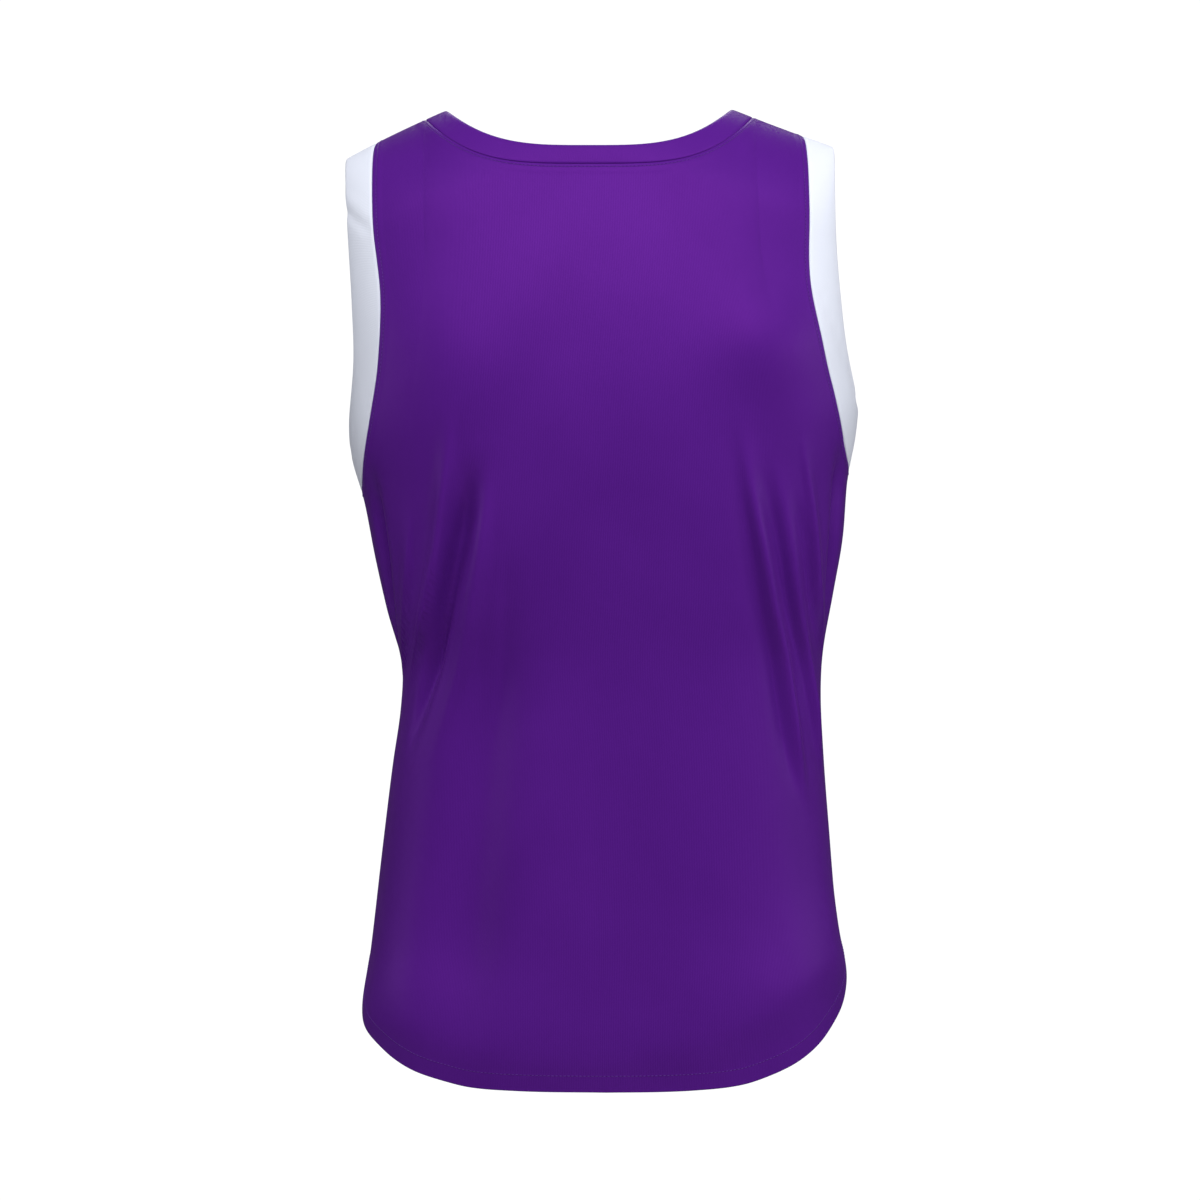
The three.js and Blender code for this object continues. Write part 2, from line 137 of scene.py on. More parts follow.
@dataclass(frozen=True)
class Fold:
    """A soft fold that runs down one face of the cloth.

    Its line passes through three points, each a distance from the centre line towards the wearer's left
    and a height. The half widths are measured along the cloth, and height is how far it stands out.
    """

    start: tuple[float, float]
    middle: tuple[float, float]
    end: tuple[float, float]
    half_to_right: float
    half_to_left: float
    height: float


@dataclass(frozen=True)
class Dome:
    """A soft dome in the cloth: its centre as in a fold, its half width and half height, and its lift."""

    centre: tuple[float, float]
    half_width: float
    half_height: float
    height: float


BACK_FOLDS = (
    Fold((113, -222), (129, -340), (160, -452), 4, 8, 6.8),
    Fold((96, -262), (121, -355), (154, -500), 11, 8, -13),
    Fold((88, -268), (103, -380), (138, -508), 5, 9, 6),
    Fold((80, -345), (102, -560), (108, -749), 26, 30, -12),
    Fold((76, -320), (82, -410), (92, -500), 10, 5, -1.2),
    Fold((150, -300), (155, -380), (163, -440), 2.6, 9, 3),
    Fold((178, -262), (172, -345), (162, -430), 9, 9, -7.5),
    Fold((-101, -225), (-129, -430), (-155, -550), 8.5, 4.5, 8),
    Fold((-97, -225), (-123, -430), (-146, -540), 4, 9, -3.8),
    Fold((-119, -268), (-134, -360), (-152, -470), 7, 8, -5.4),
    Fold((-130, -275), (-147, -428), (-167, -530), 8, 4.5, 7.4),
    Fold((-144, -296), (-151, -352), (-158, -430), 4.5, 6, -3.4),
    Fold((-150, -250), (-156, -345), (-162, -440), 7, 3, 4.6),
    Fold((-183, -258), (-176, -320), (-163, -425), 9, 12, -6.5),
    Fold((24, -380), (20, -540), (14, -700), 6, 7, 0.3),
    Fold((4, -430), (6, -600), (2, -725), 5, 8, -0.25),
)
FRONT_FOLDS = (
    Fold((112, -215), (126, -345), (156, -455), 9, 8, 3.8),
    Fold((84, -240), (110, -370), (148, -490), 18, 12, -5.5),
    Fold((66, -330), (92, -520), (118, -735), 20, 17, -4),
    Fold((136, -260), (148, -350), (160, -440), 6, 6, 1.8),
    Fold((170, -285), (165, -370), (158, -440), 11, 12, -4),
    Fold((-104, -220), (-124, -360), (-156, -500), 7, 9, 3.8),
    Fold((-84, -240), (-104, -370), (-142, -520), 10, 17, -5),
    Fold((-72, -340), (-98, -540), (-112, -735), 19, 21, -3.5),
    Fold((-140, -260), (-150, -350), (-160, -440), 6, 6, 1.6),
    Fold((-170, -280), (-166, -360), (-158, -440), 12, 12, -4),
    Fold((-20, -420), (10, -580), (18, -742), 27, 28, 3),
)

# Domes under the cloth of the back, where it lies over the shoulder blades.
BACK_DOMES = (Dome((-128, -190), 40, 40, 10), Dome((116, -200), 40, 45, 4.5))

# The fullest line of the cloth above the hem of the back: distance from the centre line, and height.
FULLEST = ((-170, -655), (-115, -688), (-80, -704), (0, -720), (60, -718), (112, -708), (160, -690))
FULLEST_LIFT = 4.4
ABOVE_FULLEST, BELOW_FULLEST = 46, 24

# Slight slackness all over: cycles for each metre round and down, phase, and height.
SLACK = ((9.0, 2.0, 0.4, 0.2), (-13.0, 3.0, 1.9, 0.1), (21.0, -4.0, 4.1, 0.05))


def smoothstep(low: float, high: float, at: np.ndarray) -> np.ndarray:
    """Rises smoothly from 0 at `low` to 1 at `high`."""
    t = np.clip((np.asarray(at, float) - low) / (high - low), 0, 1)
    return t * t * (3 - 2 * t)


@dataclass(frozen=True)
class Curve:
    """A smooth cubic through rows of measurements, with the keys rising."""

    keys: np.ndarray
    values: np.ndarray

    @classmethod
    def down(cls, rows: tuple[tuple[float, ...], ...], column: int) -> "Curve":
        """Reads a column of a table whose first column is a height that falls from row to row."""
        table = np.array(rows, float)
        return cls(-table[:, 0], table[:, column])

    @classmethod
    def up(cls, rows: tuple[tuple[float, ...], ...], column: int) -> "Curve":
        """Reads a column of a table whose first column rises from row to row."""
        table = np.array(rows, float)
        return cls(table[:, 0], table[:, column])

    def __call__(self, at: np.ndarray) -> np.ndarray:
        """Gives the value at each key in `at`, held level past both ends.

        Args:
            at: Keys of any shape.

        Returns:
            Values of the same shape.
        """
        step = np.diff(self.keys)
        rise = np.diff(self.values) / step
        slope = np.concatenate([rise[:1], (rise[1:] + rise[:-1]) / 2, rise[-1:]])
        place = np.clip(at, self.keys[0], self.keys[-1])
        i = np.clip(np.searchsorted(self.keys, place, side="right") - 1, 0, len(step) - 1)
        t = (place - self.keys[i]) / step[i]
        t2, t3 = t * t, t * t * t
        return (
            (2 * t3 - 3 * t2 + 1) * self.values[i]
            + (t3 - 2 * t2 + t) * step[i] * slope[i]
            + (3 * t2 - 2 * t3) * self.values[i + 1]
            + (t3 - t2) * step[i] * slope[i + 1]
        )


@dataclass(frozen=True)
class Places:
    """Places on the cloth: arrays of turn, in degrees, and of fall, in millimetres."""

    turn: np.ndarray
    fall: np.ndarray

    def toward(self, other: "Places", share: np.ndarray) -> "Places":
        """Gives the places at a share of the way to other places.

        Args:
            other: As many places.
            share: 0 for these places and 1 for the others.

        Returns:
            The places between them.
        """
        return Places(
            self.turn + (other.turn - self.turn) * share, self.fall + (other.fall - self.fall) * share
        )

    def mirrored(self) -> "Places":
        """Gives the same places on the wearer's other side."""
        return Places(-self.turn, self.fall)

    def pick(self, index: Any) -> "Places":
        """Gives some of the places."""
        return Places(self.turn[index], self.fall[index])

    def then(self, other: "Places") -> "Places":
        """Gives these places and the other ones after them."""
        return Places(np.concatenate([self.turn, other.turn]), np.concatenate([self.fall, other.fall]))


Path2D = Callable[[np.ndarray], Places]


@dataclass(frozen=True)
class BodyForm:
    """The filled-out form of the cloth, and its folds."""

    crest: float = 75  # height over which the shoulder rounds over into the back and the chest
    shoulder_slope: float = 0.445
    nape_rounding: float = 45
    neck_half: float = 110
    shoulder_tip: float = 188
    flat_at_seam: float = 14  # folds die out over this many degrees before a side seam
    full_by: float = 0.7  # share of the way to its middle by which a fold has its full height
    cloth_per_degree: float = 2.9
    tight_above: float = -40  # the cloth has no slackness above this height
    loose_below: float = -160  # and all of it below this one
    half_width: Curve = field(default_factory=lambda: Curve.down(SECTIONS, 1))
    back_reach: Curve = field(default_factory=lambda: Curve.down(SECTIONS, 2))
    front_reach: Curve = field(default_factory=lambda: Curve.down(SECTIONS, 3))
    power: Curve = field(default_factory=lambda: Curve.down(SECTIONS, 4))
    shift: Curve = field(default_factory=lambda: Curve.down(SECTIONS, 5))
    lean: Curve = field(default_factory=lambda: Curve.down(LEAN, 1))

    def ridge(self, x: np.ndarray) -> np.ndarray:
        """Gives the height of the shoulder's crest at a distance from the centre."""
        top = math.hypot(self.neck_half, self.nape_rounding)
        return self.shoulder_slope * (top - np.hypot(x, self.nape_rounding))

    def drop_of(self, fall: np.ndarray) -> np.ndarray:
        """Gives how far below the crest the cloth lies after a run of `fall`.

        Args:
            fall: Run of cloth from the crest down.

        Returns:
            Drops, all in millimetres.
        """
        quarter = self.crest * math.pi / 2
        round_over = self.crest * (1 - np.cos(np.minimum(fall, quarter) / self.crest))
        return np.where(fall < quarter, round_over, self.crest + fall - quarter)

    def fall_of(self, drop: np.ndarray) -> np.ndarray:
        """Gives the run of cloth for a drop below the crest.

        Args:
            drop: How far below the crest.

        Returns:
            Runs of cloth, all in millimetres.
        """
        quarter = self.crest * math.pi / 2
        drop = np.maximum(drop, 0)
        round_over = self.crest * np.arccos(1 - np.minimum(drop, self.crest) / self.crest)
        return np.where(drop < self.crest, round_over, quarter + drop - self.crest)

    @staticmethod
    def outline(turn: np.ndarray, power: np.ndarray) -> tuple[np.ndarray, np.ndarray]:
        """Gives where a ray leaves a rounded square with half sides of 1: across and backwards.

        Args:
            turn: Angle of the ray from straight backwards, in degrees.
            power: 2 for a circle, and more for a squarer form.

        Returns:
            Shares of the half width and of the reach.
        """
        across, back = np.sin(np.radians(turn)), np.cos(np.radians(turn))
        scale = (np.abs(across) ** power + np.abs(back) ** power) ** (-1 / power)
        return across * scale, back * scale

    def angle_of(self, x: np.ndarray, z: np.ndarray) -> np.ndarray:
        """Gives the angle whose ray leaves the section at height z at a distance x from its centre.

        Args:
            x: Distance towards the wearer's left.
            z: Height of the section.

        Returns:
            Angles in degrees.
        """
        power = self.power(-np.asarray(z, float))
        share = np.minimum(1, np.abs(x) / self.half_width(-np.asarray(z, float)))
        rest = np.maximum(0, 1 - share**power) ** (1 / power)
        return np.sign(x) * np.degrees(np.arctan2(share, rest))

    def height_at(self, turn: np.ndarray, fall: np.ndarray) -> np.ndarray:
        """Gives the height of the cloth: it sits its drop below the crest above it.

        Args:
            turn: Angles round the body.
            fall: Runs of cloth from the crest.

        Returns:
            Heights in millimetres.
        """
        drop = self.drop_of(fall)
        z = -drop
        for _ in range(12):
            across, _back = self.outline(turn, self.power(-z))
            z = self.ridge(self.half_width(-z) * across) - drop
        return z

    def fall_at(self, turn: np.ndarray, z: np.ndarray) -> np.ndarray:
        """Gives the run of cloth from the crest down to a height, at an angle.

        Args:
            turn: Angles round the body.
            z: Heights.

        Returns:
            Runs of cloth in millimetres.
        """
        z = np.asarray(z, float)
        across, _back = self.outline(turn, self.power(-z))
        return self.fall_of(self.ridge(self.half_width(-z) * across) - z)

    def base(self, places: Places) -> np.ndarray:
        """Gives points of the smooth form under the folds.

        Args:
            places: Places of any shape.

        Returns:
            Points in millimetres, with one axis more than the places.
        """
        past = places.fall < 0
        turn = np.where(past, 180 - places.turn, places.turn)
        fall = np.abs(places.fall)
        z = self.height_at(turn, fall)
        across, back = self.outline(turn, self.power(-z))
        reach = np.where(back > 0, self.back_reach(-z), self.front_reach(-z))
        fullness = np.sin(np.minimum(fall / self.crest, math.pi / 2))
        return np.stack([self.half_width(-z) * across, reach * back * fullness, z], axis=-1)

    def steps(self, places: Places) -> tuple[np.ndarray, np.ndarray]:
        """Gives how a point moves with one more degree of turn, and with one more millimetre of fall.

        Args:
            places: Places of any shape.

        Returns:
            Both steps, in millimetres.
        """
        turned = self.base(Places(places.turn + 0.2, places.fall))
        turned = turned - self.base(Places(places.turn - 0.2, places.fall))
        fallen = self.base(Places(places.turn, places.fall + 0.5))
        fallen = fallen - self.base(Places(places.turn, places.fall - 0.5))
        return turned / 0.4, fallen

    def outward(self, places: Places) -> np.ndarray:
        """Gives the outward direction of the smooth form.

        Args:
            places: Places of any shape.

        Returns:
            Directions of length 1.
        """
        turned, fallen = self.steps(places)
        normal = np.cross(turned, fallen)
        return normal / np.linalg.norm(normal, axis=-1, keepdims=True)

    def lift(self, folds: tuple[Fold, ...], angle: np.ndarray, z: np.ndarray) -> np.ndarray:
        """Gives how far the folds of one face lift the cloth.

        Args:
            folds: The folds of that face.
            angle: Angle from that face's centre line, to the wearer's left.
            z: Height of the smooth form.

        Returns:
            Distances outwards, in millimetres.
        """
        height = np.zeros_like(z)
        for fold in folds:
            (x0, z0), (x1, z1), (x2, z2) = fold.start, fold.middle, fold.end
            near = (z <= z0) & (z >= z2)
            zn = z[near]
            along = np.where(zn > z1, (z0 - zn) / (z0 - z1), (zn - z2) / (z1 - z2))
            x_at = (
                x0 * (zn - z1) * (zn - z2) / ((z0 - z1) * (z0 - z2))
                + x1 * (zn - z0) * (zn - z2) / ((z1 - z0) * (z1 - z2))
                + x2 * (zn - z0) * (zn - z1) / ((z2 - z0) * (z2 - z1))
            )
            away = (angle[near] - self.angle_of(x_at, zn)) * self.cloth_per_degree
            half = np.where(away < 0, fold.half_to_right, fold.half_to_left)
            height[near] += fold.height * smoothstep(0, self.full_by, along) * np.exp(-((away / half) ** 2))
        return height * smoothstep(0, self.flat_at_seam, 90 - np.abs(angle))

    def fullness_of_back(self, x: np.ndarray, z: np.ndarray) -> np.ndarray:
        """Gives how far the shoulder blades and the full line above the hem lift the back.

        Args:
            x: Distance towards the wearer's left.
            z: Height of the smooth form.

        Returns:
            Distances outwards, in millimetres.
        """
        height = np.zeros_like(z)
        for dome in BACK_DOMES:
            across, up = (x - dome.centre[0]) / dome.half_width, (z - dome.centre[1]) / dome.half_height
            height += dome.height * np.exp(-(across**2) - up**2)
        off = z - Curve.up(FULLEST, 1)(x)
        half = np.where(off > 0, ABOVE_FULLEST, BELOW_FULLEST)
        return height + FULLEST_LIFT * np.exp(-((off / half) ** 2))

    def cloth(self, places: Places, depth: np.ndarray) -> np.ndarray:
        """Gives points on the cloth, with its folds, its slackness and the garment's lean.

        Args:
            places: Places of any shape.
            depth: How far under the outer surface, in millimetres.

        Returns:
            Points in millimetres.
        """
        base = self.base(places)
        z = base[..., 2]
        turned = np.mod(places.turn + 90, 360) - 90
        seam_fade = smoothstep(0, 2 * self.flat_at_seam, 90 - np.abs(turned))
        back = self.lift(BACK_FOLDS, turned, z) + seam_fade * self.fullness_of_back(base[..., 0], z)
        front = self.lift(FRONT_FOLDS, 180 - turned, z)
        folds = np.where(turned <= 90, back, front)
        around, down = turned * self.cloth_per_degree * MM, z * MM
        loose = smoothstep(self.tight_above, self.loose_below, z)
        for per_round, per_down, phase, height in SLACK:
            folds = folds + loose * height * np.sin(
                2 * math.pi * (per_round * around + per_down * down) + phase
            )
        points = base + self.outward(places) * (folds - depth)[..., None]
        x = base[..., 0]
        points[..., 2] -= self.lean(-z) * np.sign(x) * (x / self.shoulder_tip) ** 4
        points[..., 0] += self.shift(-z)
        return points

    def evenly(self, path: Path2D, count: int) -> tuple[Places, float]:
        """Gives places at equal steps of cloth along a path, and the path's length.

        Args:
            path: Gives places for shares from 0 to 1.
            count: How many steps.

        Returns:
            One place more than the steps, and the length in millimetres.
        """
        places = path(np.linspace(0, 1, 40 * count + 1))
        run = np.concatenate([[0], np.cumsum(np.linalg.norm(np.diff(self.base(places), axis=0), axis=1))])
        wanted = np.linspace(0, run[-1], count + 1)
        return Places(np.interp(wanted, run, places.turn), np.interp(wanted, run, places.fall)), run[-1]

    def beside(self, places: Places, distance: float, side: Side, closed: bool = False) -> Places:
        """Gives places at a distance beside a path, square to it.

        Args:
            places: The path.
            distance: How far, in millimetres.
            side: The side of the path that they lie on.
            closed: Whether the path's end runs on into its start.

        Returns:
            As many places as the path has.
        """
        points = self.base(places)
        if closed:
            along = np.roll(points, -1, axis=0) - np.roll(points, 1, axis=0)
        else:
            along = np.gradient(points, axis=0)
        turned, fallen = self.steps(places)
        normal = np.cross(turned, fallen)
        across = np.cross(normal, along) * side.value
        across *= distance / np.linalg.norm(across, axis=-1, keepdims=True)
        tt, tf, ff = (turned * turned).sum(-1), (turned * fallen).sum(-1), (fallen * fallen).sum(-1)
        ta, fa = (turned * across).sum(-1), (fallen * across).sum(-1)
        whole = tt * ff - tf * tf
        return Places(
            places.turn + (ta * ff - fa * tf) / whole, places.fall + (fa * tt - ta * tf) / whole
        )


FORM = BodyForm()


def through(points: np.ndarray, at: np.ndarray) -> np.ndarray:
    """Gives a smooth curve through points, bent as tightly as their spacing asks.

    Args:
        points: The points, one for each row.
        at: Shares of the way, where each piece between two points counts the same.

    Returns:
        One point for each share.
    """
    ends = np.vstack([2 * points[0] - points[1], points, 2 * points[-1] - points[-2]])
    pieces = len(points) - 1
    i = np.minimum((at * pieces).astype(int), pieces - 1)
    t = (at * pieces - i)[:, None]
    p0, p1, p2, p3 = (ends[i + k] for k in range(4))
    d0, d1, d2 = (
        np.sqrt(np.linalg.norm(b - a, axis=1))[:, None] for a, b in ((p0, p1), (p1, p2), (p2, p3))
    )
    m1 = ((p1 - p0) / d0 - (p2 - p0) / (d0 + d1) + (p2 - p1) / d1) * d1
    m2 = ((p2 - p1) / d1 - (p3 - p1) / (d1 + d2) + (p3 - p2) / d2) * d1
    t2, t3 = t * t, t * t * t
    return (2 * t3 - 3 * t2 + 1) * p1 + (t3 - 2 * t2 + t) * m1 + (3 * t2 - 2 * t3) * p2 + (t3 - t2) * m2


@dataclass(frozen=True)
class FaceCut:
    """The cut lines of one face of the garment, for the wearer's left half."""

    middle: float  # turn at the centre line
    seam_rows: tuple[tuple[float, float], ...]
    edge_rows: tuple[tuple[float, float], ...]
    neck_drop: float  # high shoulder point to the neck edge
    band_drop: float  # neck edge to the neck seam
    neck_power: float  # how square the neck curve is: 2 is round
    band_power: float
    strap_end: float = 164
    shoulder_tip: float = 188
    neckband: float = 16.5

    def armhole(self, rows: tuple[tuple[float, float], ...], end_x: float) -> Path2D:
        """Gives the path up the armhole through the rows of a table, ending on the crest.

        Args:
            rows: Distance from the centre and height, from the underarm up.
            end_x: Where it meets the crest.

        Returns:
            The path, as if on the back.
        """
        angle, z = np.array(rows, float).T
        top = FORM.angle_of(np.array(end_x, float), FORM.ridge(np.array(end_x, float)))
        points = np.vstack([np.stack([angle, FORM.fall_at(angle, z)], axis=1), [float(top), 0.0]])

        def path(at: np.ndarray) -> Places:
            """Gives places along the armhole."""
            found = through(points, at)
            return Places(found[:, 0], np.maximum(found[:, 1], 0))

        return path

    def neck(self, half: float, middle_z: float, power: float) -> Path2D:
        """Gives the path of a neck curve from the centre line to the crest.

        Args:
            half: Half width on the crest.
            middle_z: Height on the centre line.
            power: 2 for an ellipse, and more for a squarer curve.

        Returns:
            The path, as if on the back.
        """
        side_z = float(FORM.ridge(np.array(half)))

        def path(at: np.ndarray) -> Places:
            """Gives places along the neck.

            Args:
                at: Shares of the way.

            Returns:
                One place for each.
            """
            share = 1 - (1 - at) ** 2
            x = half * share
            z = side_z + (middle_z - side_z) * (1 - share**power)
            return Places(FORM.angle_of(x, z), FORM.fall_of(FORM.ridge(x) - z))

        return path

    @property
    def armhole_seam(self) -> Path2D:
        """The seam between the body and the armhole band."""
        return self.armhole(self.seam_rows, self.strap_end)

    @property
    def armhole_edge(self) -> Path2D:
        """The finished edge of the armhole."""
        return self.armhole(self.edge_rows, self.shoulder_tip)

    @property
    def neck_edge(self) -> Path2D:
        """The finished edge of the neck."""
        return self.neck(FORM.neck_half, -self.neck_drop, self.neck_power)

    @property
    def neck_seam(self) -> Path2D:
        """The seam between the body and the neck band."""
        return self.neck(FORM.neck_half + self.neckband, -self.neck_drop - self.band_drop, self.band_power)

    def placed(self, places: Places) -> Places:
        """Turns angles from this face's centre line into turns round the body."""
        return Places(np.abs(self.middle - places.turn), places.fall)


BACK = FaceCut(0, BACK_SEAM, BACK_EDGE, 32.5, 15, 3.4, 3.8)
FRONT = FaceCut(180, FRONT_SEAM, FRONT_EDGE, 104, 17.5, 2.3, 2.5)


def armhole_loop(back: Path2D, front: Path2D, count: int) -> Places:
    """Gives a closed loop round the left armhole: up the back from the underarm and down the front.

    Args:
        back: Path up the back.
        front: Path up the front.
        count: Steps on each face.

    Returns:
        Places without a repeated first one.
    """
    behind, _length = FORM.evenly(back, count)
    before, _length = FORM.evenly(front, count)
    return behind.then(FRONT.placed(before).pick(slice(-2, 0, -1)))


def neck_loop(back: Path2D, front: Path2D, count: int) -> Places:
    """Gives a closed loop round the neck: along the back from the wearer's right, and back in front.

    Args:
        back: Path from the centre of the back.
        front: Path from the centre of the front.
        count: Steps on each quarter.

    Returns:
        Places without a repeated first one.
    """
    behind, _length = FORM.evenly(back, count)
    before, _length = FORM.evenly(front, count)
    before = FRONT.placed(before)
    loop = behind.pick(slice(None, 0, -1)).mirrored().then(behind)
    loop = loop.then(before.pick(slice(-2, None, -1)))
    return loop.then(before.pick(slice(1, -1)).mirrored())


# Finishes.


def linear(hex_colour: str) -> tuple[float, float, float, float]:
    """Turns an sRGB hex colour into linear red, green, blue and alpha.

    Args:
        hex_colour: Colour such as #501b80.

    Returns:
        Four values from 0 to 1.
    """
    parts = [int(hex_colour[i : i + 2], 16) / 255 for i in (1, 3, 5)]
    r, g, b = (c / 12.92 if c <= 0.04045 else ((c + 0.055) / 1.055) ** 2.4 for c in parts)
    return r, g, b, 1.0


def add_node(
    tree: bpy.types.NodeTree,
    kind: str,
    values: dict[str | int, Any] | None = None,
    links: dict[str | int, bpy.types.NodeSocket] | None = None,
    **settings: Any,
) -> bpy.types.Node:
    """Adds a node with its settings and links.

    Args:
        tree: The tree it goes into.
        kind: Its type.
        values: What its input sockets are set to, by name or number.
        links: The output that feeds each linked input.
        settings: Its own properties.

    Returns:
        The new node.
    """
    node = tree.nodes.new(kind)
    for name, value in settings.items():
        setattr(node, name, value)
    for name, value in (values or {}).items():
        node.inputs[name].default_value = value
    for name, source in (links or {}).items():
        tree.links.new(source, node.inputs[name])
    return node


# How far the middle of each stitched line lies from its seam or from the lower edge.
NECK_STITCH, ARMHOLE_STITCH, HEM_STITCH = 2.6, 4.0, 12.5


@dataclass(frozen=True)
class StitchedLine:
    """A line of stitches that dents the cloth, at a distance from a seam or an edge."""

    attribute: str  # the mesh's own distances from that seam or edge
    distance: float
    half_width: float = 0.55


STITCHED_LINES = (
    StitchedLine("from_neck", NECK_STITCH),
    StitchedLine("from_armhole", ARMHOLE_STITCH),
    StitchedLine("from_hem", HEM_STITCH),
)


@dataclass(frozen=True)
class InterlockKnit:
    """Polyester interlock, a smooth double knit with a slight satin gloss from its filament yarn.

    Its wales stand 0.8 mm apart. They are drawn 1.3 mm apart, because finer ones would not show.
    """

    name: str
    colour: str
    # The deep colour gives the knit's soft random tone, and the painted shade in its stitched dents.
    deep_tone_and_shade_colour: str
    gloss_tint: str
    roughness: float
    specular: float
    sheen: float
    wale: float = 1.3
    course: float = 1.0
    relief: float = 0.05  # height of the knit's lines, in millimetres
    loop_floor: float = 0.35  # height of a wale between two courses, as a share
    dent_depth: float = 0.22
    # How far a stitched dent is darkened towards the deep colour, as painted shade in its groove.
    painted_dent_shade: float = 0.75  # how far a dent takes the deep colour
    cloud_scale: float = 9.0  # soft patches in a metre
    yarn_scale: float = 900.0  # specks of the yarn in a metre

    def material(self) -> bpy.types.Material:
        """Builds the material.

        Returns:
            The material, without a user yet.
        """
        made = bpy.data.materials.new(self.name)
        made.use_nodes = True
        tree = made.node_tree
        tree.nodes.clear()
        uv = add_node(tree, "ShaderNodeUVMap", uv_map="cloth").outputs["UV"]
        wales = add_node(
            tree,
            "ShaderNodeTexWave",
            {"Scale": 2 * math.pi / (20 * self.wale * MM), "Distortion": 0.0},
            {"Vector": uv},
            bands_direction="X",
        )
        courses = add_node(
            tree,
            "ShaderNodeTexWave",
            {"Scale": 2 * math.pi / (20 * self.course * MM), "Distortion": 0.0},
            {"Vector": uv},
            bands_direction="Y",
        )
        loops = add_node(
            tree,
            "ShaderNodeMath",
            {2: self.loop_floor},
            {0: courses.outputs["Fac"], 1: wales.outputs["Fac"]},
            operation="MULTIPLY_ADD",
        )
        knit = add_node(
            tree, "ShaderNodeMath", {}, {0: loops.outputs[0], 1: wales.outputs["Fac"]}, operation="MULTIPLY"
        )
        dents = self._dents(tree)
        relief = add_node(
            tree, "ShaderNodeMath", {1: self.relief}, {0: knit.outputs[0]}, operation="MULTIPLY"
        )
        height = add_node(
            tree,
            "ShaderNodeMath",
            {1: -self.dent_depth},
            {0: dents, 2: relief.outputs[0]},
            operation="MULTIPLY_ADD",
        )
        bump = add_node(
            tree, "ShaderNodeBump", {"Strength": 1.0, "Distance": MM}, {"Height": height.outputs[0]}
        )
        clouds = add_node(
            tree,
            "ShaderNodeTexNoise",
            {"Scale": self.cloud_scale, "Detail": 3.0, "Roughness": 0.5},
            {"Vector": uv},
        )
        yarn = add_node(
            tree,
            "ShaderNodeTexNoise",
            {"Scale": self.yarn_scale, "Detail": 1.0, "Roughness": 0.6},
            {"Vector": uv},
        )
        uneven = add_node(
            tree,
            "ShaderNodeMath",
            {1: 0.22},
            {0: yarn.outputs["Fac"], 2: clouds.outputs["Fac"]},
            operation="MULTIPLY_ADD",
        )
        shade = add_node(
            tree,
            "ShaderNodeMapRange",
            {"From Min": 0.38, "From Max": 0.86, "To Min": 0.0, "To Max": 0.3},
            {"Value": uneven.outputs[0]},
        )
        # The mix takes soft random tone, plus painted shade along the stitched dents.
        tone_and_dent_shade = add_node(
            tree,
            "ShaderNodeMath",
            {1: self.painted_dent_shade},
            {0: dents, 2: shade.outputs[0]},
            operation="MULTIPLY_ADD",
            use_clamp=True,
        )
        colour = add_node(
            tree,
            "ShaderNodeMix",
            {6: linear(self.colour), 7: linear(self.deep_tone_and_shade_colour)},
            {0: tone_and_dent_shade.outputs[0]},
            data_type="RGBA",
        )
        rough = add_node(
            tree,
            "ShaderNodeMapRange",
            {"To Min": self.roughness + 0.05, "To Max": self.roughness - 0.05},
            {"Value": knit.outputs[0]},
        )
        surface = add_node(
            tree,
            "ShaderNodeBsdfPrincipled",
            {
                "Specular IOR Level": self.specular,
                "Specular Tint": linear(self.gloss_tint),
                "Sheen Weight": self.sheen,
                "Sheen Roughness": 0.45,
                "Sheen Tint": linear(self.gloss_tint),
            },
            {"Base Color": colour.outputs[2], "Roughness": rough.outputs[0], "Normal": bump.outputs[0]},
        )
        add_node(tree, "ShaderNodeOutputMaterial", {}, {"Surface": surface.outputs[0]})
        return made

    @staticmethod
    def _dents(tree: bpy.types.NodeTree) -> bpy.types.NodeSocket:
        """Draws the dents of the stitched lines: 1 along a line, and 0 away from all of them.

        Args:
            tree: Node tree of the material.

        Returns:
            The output that holds them.
        """
        total: bpy.types.NodeSocket | None = None
        for line in STITCHED_LINES:
            run = add_node(tree, "ShaderNodeAttribute", attribute_name=line.attribute)
            off = add_node(
                tree, "ShaderNodeMath", {1: line.distance}, {0: run.outputs["Fac"]}, operation="SUBTRACT"
            )
            away = add_node(tree, "ShaderNodeMath", {}, {0: off.outputs[0]}, operation="ABSOLUTE")
            dent = add_node(
                tree,
                "ShaderNodeMapRange",
                {"From Min": 0.0, "From Max": line.half_width, "To Min": 1.0, "To Max": 0.0},
                {"Value": away.outputs[0]},
                interpolation_type="SMOOTHSTEP",
            )
            if total is None:
                total = dent.outputs[0]
            else:
                total = add_node(
                    tree, "ShaderNodeMath", {}, {0: total, 1: dent.outputs[0]}, operation="MAXIMUM"
                ).outputs[0]
        return total


